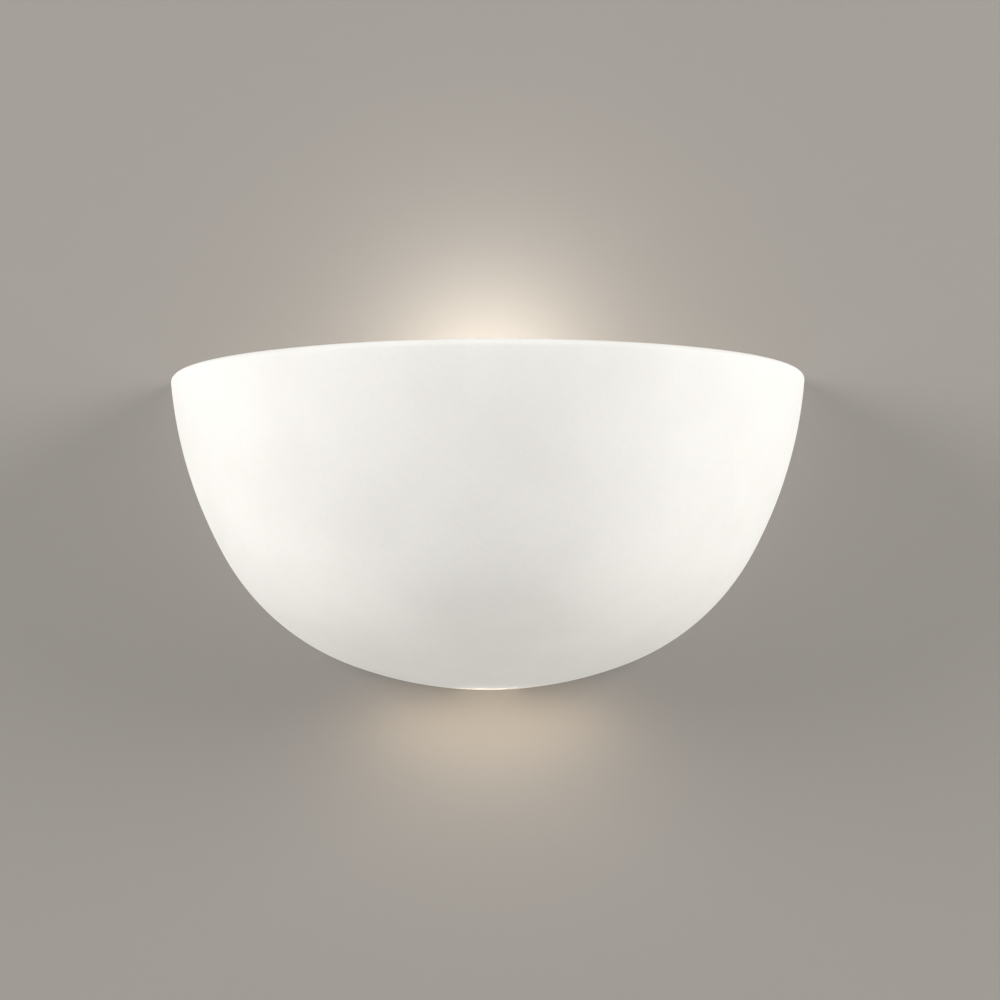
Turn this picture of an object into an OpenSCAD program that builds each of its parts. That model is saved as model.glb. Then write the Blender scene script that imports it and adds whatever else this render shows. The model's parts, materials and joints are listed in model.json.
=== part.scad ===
// Half-bowl wall uplighter in unglazed white ceramic. The bowl is clamped by two thumbscrews to a
// pressed steel wall bar, which also carries the E27 lampholder, the terminal block and the earth screw.
// Frame: +X is to the right, +Z is up, and the wall is the plane y = 0 with the room on its -Y side.
// The origin lies on the wall, midway between the two slots that the wall screws pass through.
// "Depth" below is the distance out from the wall, along -Y.

/* [Bowl] */
// Width of the bowl across its rim
bowl_w = 310; // [304:1:350]
// Height of the bowl, from the top of the rim to its underside
bowl_h = 153; // [150:1:170]
// Thickness of the ceramic wall
bowl_wall = 6.5; // [5:0.5:8]
// Inward lean of the wall just under the rim, in degrees
rim_lean = 5.5; // [3:0.5:8]
// Lean at which the side curve runs into the shoulder curve, in degrees
side_end = 29; // [27:1:31]
// Lean at which the shoulder curve runs into the base curve, in degrees
shoulder_end = 69; // [66:1:72]
// Radius of the shoulder curve
shoulder_r = 118; // [113:1:123]
// Width of the light slot at the foot of the back edge
light_slot_w = 28; // [20:1:36]
// Depth of the light slot
light_slot_d = 6; // [5:0.5:8]

/* [Bowl lugs] */
// Distance from a thumbscrew to the end of the rim
lug_inset = 35; // [32:1:40]
// Thickness of a lug
lug_t = 12; // [10:1:15]
// Radius of a lug's round nose
lug_r = 13; // [11:0.5:14]
// Bore of the hole in a lug
lug_bore = 7; // [6:0.5:8]
// Radius of the fillets between a lug and the wall of the bowl
lug_fillet = 5; // [3:0.5:6]

/* [Wall bar] */
// Drop of the fixing line below the top of the rim
fixing_drop = 46; // [43:1:50]
// Length of the bar beyond each thumbscrew
bar_end = 10; // [8:0.5:11]
// Height of the bar
bar_h = 24; // [22:1:26]
// Thickness of the bar's steel
bar_t = 1.5; // [1.2:0.1:2]
// Gap between the wall and the raised parts of the bar
standoff = 5; // [4.5:0.5:6]
// Radius inside each bend of the bar
bar_bend_r = 1; // [0.5:0.1:1.2]
// Distance between the centres of the two wall slots
wall_slot_spacing = 84; // [80:1:88]
// Length of a wall slot
wall_slot_l = 14; // [10:1:16]
// Width of a wall slot
wall_slot_w = 4.5; // [4:0.1:5.5]
// Length of a flat foot, on which the bar meets the wall
foot_l = 20; // [18:1:22]
// Width of the tongue that holds the lamp carrier
tongue_w = 34; // [32:1:38]
// Reach of the tongue below the fixing line
tongue_drop = 36; // [34:1:40]

/* [Cable grommet] */
// Bore of the grommet, for the supply cable
grommet_bore = 9; // [6:0.5:10]
// Hole in the bar that the grommet sits in
grommet_seat_d = 14; // [13:0.5:15]
// Diameter of the grommet's flanges
grommet_d = 19; // [18:0.5:20]
// Thickness of each flange
grommet_flange = 1.6; // [1.2:0.1:2]

/* [Lamp carrier] */
// Distance from the wall to the lamp's axis
lamp_offset = 47; // [45:0.5:48]
// Rise of the lampholder's seat above the underside of the bowl
seat_rise = 25.5; // [25:0.5:30]
// Width of the carrier
carrier_w = 30; // [28:1:34]
// Thickness of the carrier's steel
carrier_t = 1.5; // [1.2:0.1:2]
// Radius inside the carrier's bend
carrier_bend_r = 2.5; // [1.5:0.5:4]
// Length of the seat past the lamp's axis
seat_nose = 17; // [15:0.5:18]
// Height and length of the gusset pressed into the carrier's bend
gusset_l = 12; // [9:0.5:14]
// Drop of the carrier's top edge below the fixing line
carrier_top_drop = 14; // [12:0.5:15]
// Distance between the two rivets
rivet_spacing = 18; // [14:1:20]
// Diameter of a rivet's shank
rivet_d = 3.2; // [3:0.1:4]

/* [Lampholder] */
// Diameter of the porcelain barrel
holder_d = 41; // [39:0.5:43]
// Diameter of the porcelain base
holder_base_d = 36; // [35:0.5:37]
// Height of the base, up to where it flares out to the barrel
holder_base_h = 12; // [11:0.5:12]
// Height of the whole lampholder
holder_h = 44; // [43:0.5:44.5]
// Height of the floor of the lamp bore
holder_floor_h = 16; // [15.6:0.1:16.2]
// Inside diameter of the metal screw shell
shell_bore = 26.5; // [26.4:0.1:27]
// Thickness of the screw shell
shell_t = 0.45; // [0.3:0.05:0.6]
// Distance between the two screws that hold the lampholder down
holder_screw_spacing = 24; // [22:0.5:25]
// Distance between the two wire terminals in the base
holder_terminal_spacing = 16; // [15:0.5:16.5]

/* [Lamp] */
// Diameter of the globe
lamp_d = 60; // [55:1:61]
// Length of the lamp, from its centre contact to its top
lamp_l = 106; // [102:1:108]
// Diameter of the screw cap
cap_d = 26.2; // [26:0.05:26.3]
// Length from the centre contact to the top of the screw cap
cap_l = 27; // [26.5:0.5:28]
// Drop from the globe's centre to the joint with the housing
globe_joint_drop = 13; // [10:0.5:15]
// Thickness of the globe's wall
globe_t = 1.2; // [0.8:0.1:1.6]

/* [Terminal block] */
// Distance of the block's centre from the lamp's axis, to the left
block_offset = 80; // [76:1:84]
// Distance from one pole to the next
pole_pitch = 10; // [9.5:0.5:11]
// Length of the block along the wires
block_l = 17; // [16:0.5:18]
// Diameter of a brass clamping tube
clamp_tube_d = 5; // [4.6:0.1:5.2]

/* [Screws] */
// Nominal diameter of the thumbscrews, the earth screw and the lampholder's screws
screw_d = 4; // [3.5:0.1:4]
// Diameter of a thumbscrew's knurled head
thumb_d = 14; // [12:0.5:16]
// Length of the knurled head
thumb_h = 10; // [8:0.5:12]
// Number of ribs round the knurled head
thumb_ribs = 30; // [24:1:40]
// Thickness of the fibre washer under a thumbscrew
fibre_t = 1.5; // [1:0.1:2]
// Distance of the earth screw from the lamp's axis, to the right
earth_offset = 75; // [70:1:80]

/* [Hidden] */
$fn = 64;

thread_gap = 0.05;   // radial clearance between a screw and the thread that holds it
seat_gap = 0.05;     // radial clearance between two pieces pushed one into the other
past = 1;            // how far a cutter runs past the face that it opens
arc_steps = 8;       // straight steps in each curve of the bowl's outline

bar_front = standoff + bar_t;              // depth of the bar's raised front face
carrier_front = bar_front + carrier_t;     // depth of the carrier's front face
lug_x = bowl_w / 2 - lug_inset;
bar_l = 2 * (lug_x + bar_end);
seat_drop = bowl_h - fixing_drop - seat_rise;   // from the fixing line down to the lampholder's seat
lug_front = bar_front + lug_t;
screw_tip = 1.5;                           // depth at which screws end, short of the wall
collar_d = screw_d + 2.8;                  // drawn collars that give the thumbscrews a longer thread
collar_l = 2;
slot_x = wall_slot_spacing / 2;
contact_h = holder_floor_h + 2;            // height above the seat at which the lamp's contact sits

// ---------------------------------------------------------------- placing and simple shapes

// Turns a front view into the frame: local X and Y become x and z, and local Z becomes the depth.
module front_view(x = 0, z = 0) {
    translate([x, 0, z]) rotate([90, 0, 0]) children();
}

// Turns a side view, drawn as [depth, z], into the frame and extrudes it to a width, centred on x = 0.
module side_view(width) {
    rotate([90, 0, -90]) linear_extrude(width, center = true) children();
}

// Places a lampholder or lamp piece: local z = 0 is the top of the carrier's seat.
module on_seat() {
    translate([0, -lamp_offset, -seat_drop]) children();
}

module on_contact() {
    on_seat() translate([0, 0, contact_h]) children();
}

// Flat rectangle with round corners, centred.
module round_rectangle(w, h, r) {
    square([w - 2 * r, h], center = true);
    square([w, h - 2 * r], center = true);
    for (sx = [-1, 1], sy = [-1, 1]) translate([sx * (w / 2 - r), sy * (h / 2 - r)]) circle(r);
}

// Slot with round ends, centred, along X.
module slot(length, width) {
    square([length - width, width], center = true);
    for (s = [-1, 1]) translate([s * (length - width) / 2, 0]) circle(d = width);
}

// One quarter of a ring, in the quadrant that starts at the given angle.
module quarter_ring(r_in, t, angle) {
    rotate(angle) difference() {
        intersection() {
            circle(r_in + t);
            square(r_in + t);
        }
        circle(r_in);
    }
}

// Screw along +Z with its head's underside at z = 0 and its tip at z = -length.
module pan_screw(d, length, head_d, head_h, slot_w) {
    edge = head_h / 3;
    difference() {
        union() {
            cylinder(d = head_d, h = head_h - edge);
            translate([0, 0, head_h - edge]) cylinder(d1 = head_d, d2 = head_d - 2 * edge, h = edge);
            translate([0, 0, -length]) cylinder(d = d, h = length);
        }
        translate([-head_d / 2, -slot_w / 2, head_h / 2]) cube([head_d, slot_w, head_h]);
    }
}

module washer(outer_d, bore, t) {
    difference() {
        cylinder(d = outer_d, h = t);
        translate([0, 0, -past]) cylinder(d = bore, h = t + 2 * past);
    }
}

// ---------------------------------------------------------------- bowl

lip_r = bowl_wall / 2;
lip_drop = lip_r * (1 + sin(rim_lean));
rim_start = [bowl_w / 2 - lip_r * (1 - cos(rim_lean)), -lip_drop];

// The outline is three arcs that run into each other without a corner. The shoulder's radius is given,
// and these two follow from landing on the rim at one end and square to the axis at the other.
reach_r = rim_start[0] - shoulder_r * (cos(side_end) - cos(shoulder_end));
reach_z = bowl_h - lip_drop - shoulder_r * (sin(shoulder_end) - sin(side_end));
side_run = [cos(rim_lean) - cos(side_end), sin(side_end) - sin(rim_lean)];
base_run = [cos(shoulder_end), 1 - sin(shoulder_end)];
runs_cross = side_run[0] * base_run[1] - base_run[0] * side_run[1];
side_r = (reach_r * base_run[1] - reach_z * base_run[0]) / runs_cross;
base_r = (reach_z * side_run[0] - reach_r * side_run[1]) / runs_cross;

side_centre = rim_start - side_r * outward(rim_lean);
shoulder_centre = side_centre + (side_r - shoulder_r) * outward(side_end);
base_centre = [0, base_r - bowl_h];
lip_centre = rim_start - lip_r * outward(rim_lean);

// Direction out of the bowl where its wall leans inward by the given angle, as [radius, height].
function outward(lean) = [cos(lean), -sin(lean)];

function arc(centre, r, from, to, first) =
    [for (i = [first : arc_steps]) centre + r * outward(from + (to - from) * i / arc_steps)];

// Outline from rim to axis, set in from the outer face by a given amount.
function bowl_outline(inset) = concat(
    arc(side_centre, side_r - inset, rim_lean, side_end, 0),
    arc(shoulder_centre, shoulder_r - inset, side_end, shoulder_end, 1),
    arc(base_centre, base_r - inset, shoulder_end, 90, 1)
);

function reversed(points) = [for (i = [len(points) - 1 : -1 : 0]) points[i]];

// The ends of the lip's half circle are already in the outlines of the two faces.
function lip_outline() =
    [for (i = [1 : arc_steps - 1]) lip_centre + lip_r * outward(rim_lean - 180 + 180 * i / arc_steps)];

// Turns an outline given as [radius, height below the rim] through the half circle on the room's side.
module half_turn(points) {
    translate([0, 0, fixing_drop]) rotate(180) rotate_extrude(angle = 180) polygon(points);
}

module bowl_shell() {
    half_turn(concat(bowl_outline(0), reversed(bowl_outline(bowl_wall)), lip_outline()));
}

// Solid out to the middle of the wall, which trims a lug so that it grows out of the wall.
module bowl_core() {
    half_turn(concat(bowl_outline(bowl_wall / 2), [[0, -lip_drop]]));
}

// Reach of the bowl's inner face along X, at a height on the side curve and a depth.
function inner_reach(z, depth) =
    let (
        below_centre = z - fixing_drop - side_centre[1],
        radius = side_centre[0] + sqrt(pow(side_r - bowl_wall, 2) - pow(below_centre, 2))
    )
    sqrt(pow(radius, 2) - pow(depth, 2));

// Hollow corner in the quadrant above y = 0, which rises to a wall at x = 0 and fills the space past it.
module flare(beyond) {
    difference() {
        translate([-lug_fillet, 0]) square([lug_fillet + beyond, lug_fillet]);
        translate([-lug_fillet, lug_fillet]) circle(lug_fillet);
    }
}

// Front view of a lug: a round nose, an arm out past the wall, and a fillet above and below the arm.
module lug_front_view() {
    difference() {
        union() {
            translate([lug_x, 0]) circle(lug_r);
            translate([lug_x, -lug_r]) square([bowl_w / 2 - lug_x, 2 * lug_r]);
            for (side = [-1, 1]) scale([1, side])
                translate([inner_reach(side * lug_r, lug_front), lug_r]) flare(bowl_wall);
        }
        translate([lug_x, 0]) circle(d = lug_bore);
    }
}

// Plan of a lug as [x, depth], with a fillet between its front face and the wall.
module lug_plan() {
    translate([lug_x - lug_r, bar_front]) square([bowl_w / 2 + lug_r - lug_x, lug_t]);
    translate([inner_reach(0, lug_front), lug_front]) flare(bowl_wall);
}

// Ear inside the bowl that the thumbscrew clamps against the bar.
module lug(side) {
    reach = lug_r + lug_fillet;
    intersection() {
        front_view() linear_extrude(lug_front + lug_fillet) scale([side, 1]) lug_front_view();
        translate([0, 0, -reach]) linear_extrude(2 * reach) scale([side, -1]) lug_plan();
        bowl_core();
    }
}

module shade_bowl() {
    corner = light_slot_d / 2;
    color("white") difference() {
        union() {
            bowl_shell();
            lug(-1);
            lug(1);
        }
        translate([0, 0, fixing_drop - bowl_h - past]) linear_extrude(bowl_wall + 2 * past + corner)
            round_rectangle(light_slot_w, 2 * light_slot_d, corner);
    }
}

// ---------------------------------------------------------------- thumbscrews

// Outline of a knurled head, with a rib for every two points.
function knurl(r, depth, ribs) =
    [for (i = [0 : 2 * ribs - 1]) (r - (i % 2) * depth) * [cos(180 * i / ribs), sin(180 * i / ribs)]];

module thumbscrew(side) {
    neck_d = 10;
    neck_h = 3;
    rib_depth = 0.5;
    bevel = 1;
    groove_w = 1.2;
    groove_d = 2;
    head_base = lug_front + fibre_t + neck_h;
    color("silver") front_view(side * lug_x) difference() {
        union() {
            translate([0, 0, screw_tip]) cylinder(d = screw_d, h = head_base - screw_tip);
            translate([0, 0, head_base - neck_h]) cylinder(d = neck_d, h = neck_h);
            translate([0, 0, head_base]) intersection() {
                linear_extrude(thumb_h) polygon(knurl(thumb_d / 2, rib_depth, thumb_ribs));
                union() {
                    cylinder(d1 = thumb_d - 2 * bevel, d2 = thumb_d + past, h = bevel + past / 2);
                    translate([0, 0, bevel + past / 2])
                        cylinder(d = thumb_d + past, h = thumb_h - 2 * bevel - past);
                    translate([0, 0, thumb_h - bevel - past / 2])
                        cylinder(d1 = thumb_d + past, d2 = thumb_d - 2 * bevel, h = bevel + past / 2);
                }
            }
        }
        translate([-thumb_d, -groove_w / 2, head_base + thumb_h - groove_d])
            cube([2 * thumb_d, groove_w, groove_d + past]);
    }
}

module thumbscrew_left() { thumbscrew(-1); }
module thumbscrew_right() { thumbscrew(1); }

module fibre_washers() {
    washer_d = 16;
    color("firebrick") for (side = [-1, 1])
        front_view(side * lug_x) translate([0, 0, lug_front]) washer(washer_d, screw_d + 0.6, fibre_t);
}

// ---------------------------------------------------------------- wall bar and what is fixed to it

// Joggle in plan, as [x, depth], from a foot that ends at x = 0 up to the raised level.
joggle_l = 2 * bar_bend_r + bar_t;
module joggle() {
    rise = standoff - bar_t - 2 * bar_bend_r;
    translate([0, bar_t + bar_bend_r]) quarter_ring(bar_bend_r, bar_t, 270);
    translate([bar_bend_r, bar_t + bar_bend_r]) square([bar_t, rise]);
    translate([joggle_l, standoff - bar_bend_r]) quarter_ring(bar_bend_r, bar_t, 90);
}

// Plan of the right half of the bar: raised middle, foot on the wall, raised arm.
module half_bar_plan() {
    foot_start = slot_x - foot_l / 2;
    foot_end = slot_x + foot_l / 2;
    translate([0, standoff]) square([foot_start - joggle_l, bar_t]);
    translate([foot_start, 0]) mirror([1, 0]) joggle();
    translate([foot_start, 0]) square([foot_l, bar_t]);
    translate([foot_end, 0]) joggle();
    translate([foot_end + joggle_l, standoff]) square([bar_l / 2 - foot_end - joggle_l, bar_t]);
}

// Front view of the bar before it is bent, with the tongue running down from its middle.
module bar_blank() {
    corner = 5;
    fillet = 3;
    round_rectangle(bar_l, bar_h, corner);
    translate([0, -tongue_drop / 2]) round_rectangle(tongue_w, tongue_drop, corner);
    for (side = [-1, 1]) scale([side, 1]) translate([tongue_w / 2, -bar_h / 2]) difference() {
        translate([-fillet, -fillet]) square(2 * fillet);
        translate([fillet, -fillet]) circle(fillet);
    }
}

module wall_bar() {
    color("gainsboro") difference() {
        union() {
            intersection() {
                translate([0, 0, -tongue_drop - past]) linear_extrude(tongue_drop + bar_h + past)
                    mirror([0, 1]) union() {
                        half_bar_plan();
                        mirror([1, 0]) half_bar_plan();
                    }
                front_view() translate([0, 0, -past]) linear_extrude(bar_front + 2 * past) bar_blank();
            }
            for (side = [-1, 1]) front_view(side * lug_x)
                translate([0, 0, standoff - collar_l]) cylinder(d = collar_d, h = collar_l);
        }
        for (side = [-1, 1]) {
            front_view(side * slot_x) translate([0, 0, -past])
                linear_extrude(bar_t + 2 * past) slot(wall_slot_l, wall_slot_w);
            front_view(side * lug_x) cylinder(r = screw_d / 2 + thread_gap, h = bar_front + past);
            front_view(side * rivet_spacing / 2, rivet_z) cylinder(d = rivet_d, h = bar_front + past);
        }
        front_view() cylinder(d = grommet_seat_d, h = bar_front + past);
        front_view(earth_offset) cylinder(r = screw_d / 2 + thread_gap, h = bar_front + past);
        front_view(-block_offset) cylinder(r = block_screw_d / 2 + thread_gap, h = bar_front + past);
    }
}

module cable_grommet() {
    // The outline is [radius, depth], with a groove that the bar sits in.
    color("dimgray") front_view() rotate_extrude() difference() {
        translate([grommet_bore / 2, standoff - grommet_flange])
            square([(grommet_d - grommet_bore) / 2, bar_t + 2 * grommet_flange]);
        translate([grommet_seat_d / 2, standoff]) square([grommet_d, bar_t]);
    }
}

rivet_z = -(carrier_top_drop + tongue_drop) / 2;
module carrier_rivets() {
    head_d = 6.4;
    head_h = 1.2;
    color("silver") for (side = [-1, 1]) front_view(side * rivet_spacing / 2, rivet_z) {
        translate([0, 0, standoff - head_h]) cylinder(d1 = head_d - head_h, d2 = head_d, h = head_h);
        translate([0, 0, standoff]) cylinder(d = rivet_d, h = bar_t + carrier_t);
        translate([0, 0, carrier_front]) cylinder(d1 = head_d, d2 = head_d - head_h, h = head_h);
    }
}

// ---------------------------------------------------------------- lamp carrier

clip_z = 22.5 - seat_drop;   // height of the lead clip on the carrier's leg
clip_pin_d = 3;

module carrier_profile() {
    bend_z = carrier_bend_r - seat_drop;
    seat_end = lamp_offset + seat_nose;
    translate([bar_front, bend_z]) square([carrier_t, -carrier_top_drop - bend_z]);
    translate([carrier_front + carrier_bend_r, bend_z]) quarter_ring(carrier_bend_r, carrier_t, 180);
    translate([carrier_front + carrier_bend_r, -seat_drop - carrier_t])
        square([seat_end - carrier_front - carrier_bend_r, carrier_t]);
}

// Rectangle from y = 0 down to y = -length whose two far corners are round.
module tab(w, length, r) {
    translate([-w / 2, r - length]) square([w, length - r]);
    translate([r - w / 2, -length]) square([w - 2 * r, r]);
    for (s = [-1, 1]) translate([s * (w / 2 - r), r - length]) circle(r);
}

// Side view of the gusset, from the corner where the inner faces of the leg and the seat would meet.
module gusset_side_view() {
    overlap = carrier_t / 4;
    translate([carrier_front, -seat_drop]) polygon([
        [0, gusset_l], [gusset_l, 0], [gusset_l, -overlap],
        [0, -overlap], [-overlap, 0], [-overlap, gusset_l]
    ]);
}

// Hollow that the punch leaves behind the gusset.
module gusset_hollow() {
    l = gusset_l - carrier_t * sqrt(2);
    back = -carrier_t - past;
    translate([carrier_front, -seat_drop]) polygon([[back, back], [l - back, back], [back, l - back]]);
}

module lamp_carrier() {
    leg_corner = 4;
    seat_corner = 9;
    middle_hole = 10;
    gusset_w = 6.4;
    reach = seat_drop + carrier_t + past;
    color("gainsboro") difference() {
        intersection() {
            union() {
                side_view(carrier_w + 2 * past) carrier_profile();
                side_view(gusset_w) gusset_side_view();
            }
            translate([0, 0, -reach]) linear_extrude(reach)
                tab(carrier_w, lamp_offset + seat_nose, seat_corner);
            front_view(0, -reach) linear_extrude(lamp_offset + seat_nose) mirror([0, 1])
                tab(carrier_w, reach - carrier_top_drop, leg_corner);
        }
        side_view(gusset_w - 2 * carrier_t) gusset_hollow();
        for (side = [-1, 1]) {
            front_view(side * rivet_spacing / 2, rivet_z) cylinder(d = rivet_d, h = carrier_front + past);
            on_seat() translate([side * holder_screw_spacing / 2, 0, -carrier_t - past])
                cylinder(d = screw_d + 0.5, h = carrier_t + 2 * past);
        }
        on_seat() translate([0, 0, -carrier_t - past]) cylinder(d = middle_hole, h = carrier_t + 2 * past);
        front_view(0, clip_z) cylinder(d = clip_pin_d + 2 * seat_gap, h = carrier_front + past);
    }
}

// Saddle of white nylon that holds both leads to the leg.
module lead_clip() {
    clip_w = 18;
    clip_h = 6;
    clip_t = 4.6;
    tunnel_d = lead_d + 0.3;
    pin_l = carrier_t + 1.5;
    color("ivory") front_view(0, clip_z) {
        difference() {
            translate([0, 0, carrier_front + clip_t / 2]) cube([clip_w, clip_h, clip_t], center = true);
            for (side = [-1, 1]) translate([side * lead_x, 0, lead_depth]) rotate([90, 0, 0]) {
                cylinder(d = tunnel_d, h = clip_h + past, center = true);
                translate([-tunnel_d / 2, -tunnel_d, -clip_h]) cube([tunnel_d, tunnel_d, 2 * clip_h]);
            }
        }
        translate([0, 0, carrier_front - pin_l]) cylinder(d = clip_pin_d, h = pin_l);
    }
}

// ---------------------------------------------------------------- lampholder

holder_bore_r = shell_bore / 2 + shell_t + seat_gap;
pocket_w = 6.8;
pocket_h = 9;
pocket_z = 3;           // height of the terminal pockets' floor above the seat
pocket_start = 5.5;     // distance from the lamp's axis to where the pockets begin
terminal_z = pocket_z + pocket_h / 2;
terminal_w = pocket_w - 0.2;
terminal_l = 8;
terminal_h = pocket_h - 0.2;
terminal_screw_d = 3;

// Porcelain body, drawn as [radius, height above the seat].
module holder_porcelain() {
    lip = 1.5;
    flare = (holder_d - holder_base_d) / 2;
    mouth = 0.8;
    thread_depth = 10;
    color("whitesmoke") on_seat() difference() {
        rotate_extrude() polygon([
            [0, 0], [holder_base_d / 2, 0], [holder_base_d / 2, holder_base_h],
            [holder_d / 2, holder_base_h + flare], [holder_d / 2, holder_h - lip],
            [holder_d / 2 - lip * (1 - sin(45)), holder_h - lip * (1 - sin(45))],
            [holder_d / 2 - lip, holder_h], [holder_bore_r + mouth, holder_h],
            [holder_bore_r, holder_h - mouth], [holder_bore_r, holder_floor_h], [0, holder_floor_h]
        ]);
        for (side = [-1, 1]) {
            translate([side * holder_screw_spacing / 2, 0, -past])
                cylinder(r = screw_d / 2 + thread_gap, h = thread_depth + past);
            translate([side * holder_terminal_spacing / 2 - pocket_w / 2, pocket_start, pocket_z])
                cube([pocket_w, holder_d, pocket_h]);
            translate([side * holder_terminal_spacing / 2, pocket_start + terminal_l / 2, terminal_z])
                rotate([0, side * 90, 0]) cylinder(d = terminal_screw_d + 0.6, h = holder_d);
        }
    }
}

module holder_screw_shell() {
    foot = 3;
    color("goldenrod") on_seat() rotate_extrude() {
        translate([shell_bore / 2, holder_floor_h]) square([shell_t, holder_h - holder_floor_h - 2]);
        translate([shell_bore / 2 - foot, holder_floor_h]) square([foot, shell_t]);
    }
}

// Springy brass tongue in the floor of the bore, drawn as [depth, height], pressed down by the lamp.
module holder_centre_contact() {
    t = 0.6;
    tongue = 7;
    floor_h = holder_floor_h;
    top = contact_h - thread_gap;
    color("goldenrod") translate([0, -lamp_offset, -seat_drop]) side_view(tongue) polygon([
        [-9, floor_h], [-3.4, floor_h], [-1.4, top - t], [2.4, top - t], [4.6, top - 2 * t],
        [5, top - 1.2 * t], [2.6, top], [-1.7, top], [-3.7, floor_h + t], [-9, floor_h + t]
    ]);
}

module holder_terminals() {
    wire_bore = 2.4;
    color("goldenrod") on_seat() for (side = [-1, 1])
        translate([side * holder_terminal_spacing / 2, pocket_start + 0.1, terminal_z]) difference() {
            translate([-terminal_w / 2, 0, -pocket_h / 2]) cube([terminal_w, terminal_l, terminal_h]);
            rotate([-90, 0, 0]) translate([0, 0, 1]) cylinder(d = wire_bore, h = terminal_l);
            translate([0, terminal_l / 2 - 0.1, 0]) rotate([0, side * 90, 0])
                cylinder(r = terminal_screw_d / 2 + thread_gap, h = terminal_w);
        }
}

module holder_terminal_screws() {
    length = 5.5;
    groove = 0.6;
    color("silver") on_seat() for (side = [-1, 1])
        translate([side * holder_terminal_spacing / 2, pocket_start + terminal_l / 2, terminal_z])
            rotate([0, side * 90, 0]) translate([0, 0, ferrule_d / 2 + thread_gap]) difference() {
                cylinder(d = terminal_screw_d, h = length);
                translate([-terminal_screw_d, -groove / 2, length - groove])
                    cube([2 * terminal_screw_d, groove, 2 * groove]);
            }
}

// Two screws from under the carrier's seat into the porcelain.
module holder_fixing_screws() {
    head_d = 7.5;
    head_h = 2.4;
    length = 9;
    color("silver") on_seat() for (side = [-1, 1])
        translate([side * holder_screw_spacing / 2, 0, -carrier_t]) rotate([180, 0, 0])
            pan_screw(screw_d, length, head_d, head_h, 1);
}

// ---------------------------------------------------------------- terminal block

block_w = 2 * pole_pitch;
block_screw_d = 3;
block_head_d = 5.5;
web_h = 9;               // height of the web between the poles, on which the fixing screw's head sits
tube_z = 6.5;            // height of the clamping tubes' axes above the bar
tower_h = 14;
tower_d = 7;
tower_y = block_l / 4;   // the towers stand this far either side of the middle
clamp_screw_d = 2.6;

module each_pole() {
    for (side = [-1, 1]) front_view(-block_offset + side * pole_pitch / 2)
        translate([0, 0, bar_front]) children();
}

module terminal_block() {
    slab_h = 4;
    web_w = 6.4;
    play = 0.25;
    housing_d = pole_pitch - 1;
    color("ivory") difference() {
        union() {
            front_view(-block_offset) translate([0, 0, bar_front]) {
                linear_extrude(slab_h) square([block_w, block_l], center = true);
                linear_extrude(web_h) square(web_w, center = true);
            }
            each_pole() {
                translate([-housing_d / 2, -block_l / 2, 0]) cube([housing_d, block_l, tube_z]);
                translate([0, -block_l / 2, tube_z]) rotate([-90, 0, 0])
                    cylinder(d = housing_d, h = block_l);
                for (s = [-1, 1]) translate([0, s * tower_y, 0]) cylinder(d = tower_d, h = tower_h);
            }
        }
        each_pole() {
            translate([0, -block_l / 2 - past, tube_z]) rotate([-90, 0, 0])
                cylinder(r = clamp_tube_d / 2 + seat_gap, h = block_l + 2 * past);
            for (s = [-1, 1]) translate([0, s * tower_y, tube_z])
                cylinder(r = clamp_screw_d / 2 + thread_gap, h = tower_h);
        }
        front_view(-block_offset) translate([0, 0, bar_front]) {
            translate([0, 0, -past]) cylinder(r = block_screw_d / 2 + play, h = tower_h);
            translate([0, 0, web_h]) cylinder(r = block_head_d / 2 + play, h = tower_h);
        }
    }
}

module clamp_tubes() {
    inset = 1.5;
    wire_bore = 3.2;
    tube_l = block_l - 2 * inset;
    color("goldenrod") each_pole() difference() {
        translate([0, -tube_l / 2, tube_z]) rotate([-90, 0, 0]) cylinder(d = clamp_tube_d, h = tube_l);
        translate([0, -tube_l, tube_z]) rotate([-90, 0, 0]) cylinder(d = wire_bore, h = 2 * tube_l);
        for (s = [-1, 1]) translate([0, s * tower_y, tube_z])
            cylinder(r = clamp_screw_d / 2 + thread_gap, h = clamp_tube_d);
    }
}

module clamp_screws() {
    head_below = 2;
    groove = 0.6;
    length = tower_h - head_below - tube_z - ferrule_d / 2 - thread_gap;
    color("silver") each_pole() for (s = [-1, 1])
        translate([0, s * tower_y, tower_h - head_below]) difference() {
            translate([0, 0, -length]) cylinder(d = clamp_screw_d, h = length);
            translate([-clamp_screw_d, -groove / 2, -groove]) cube([2 * clamp_screw_d, groove, 2 * groove]);
        }
}

module block_fixing_screw() {
    head_base = bar_front + web_h;
    color("silver") front_view(-block_offset) translate([0, 0, head_base])
        pan_screw(block_screw_d, head_base - screw_tip, block_head_d, 1.8, 0.8);
}

// ---------------------------------------------------------------- earth terminal

lock_t = 0.8;
cup_t = 1;
module earth_lock_washer() {
    // Toothed washer: the outline steps in and out once for each tooth.
    teeth = 16;
    color("silver") front_view(earth_offset) translate([0, 0, bar_front])
        linear_extrude(lock_t) difference() {
            polygon(knurl(4.4, 0.7, teeth));
            circle(d = screw_d + 0.4);
        }
}

// Cup washer that keeps the supply's earth wire under the screw's head.
module earth_cup_washer() {
    cup_d = 10;
    rim_h = 1.6;
    color("goldenrod") front_view(earth_offset) translate([0, 0, bar_front + lock_t]) difference() {
        cylinder(d = cup_d, h = cup_t + rim_h);
        translate([0, 0, cup_t]) cylinder(d = cup_d - 2 * cup_t, h = rim_h + past);
        translate([0, 0, -past]) cylinder(d = screw_d + 0.4, h = cup_t + 2 * past);
    }
}

module earth_screw() {
    head_d = 7.5;
    head_h = 2.4;
    head_base = bar_front + lock_t + cup_t;
    color("goldenrod") front_view(earth_offset) translate([0, 0, head_base])
        pan_screw(screw_d, head_base - screw_tip, head_d, head_h, 1);
}

// ---------------------------------------------------------------- leads

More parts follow.
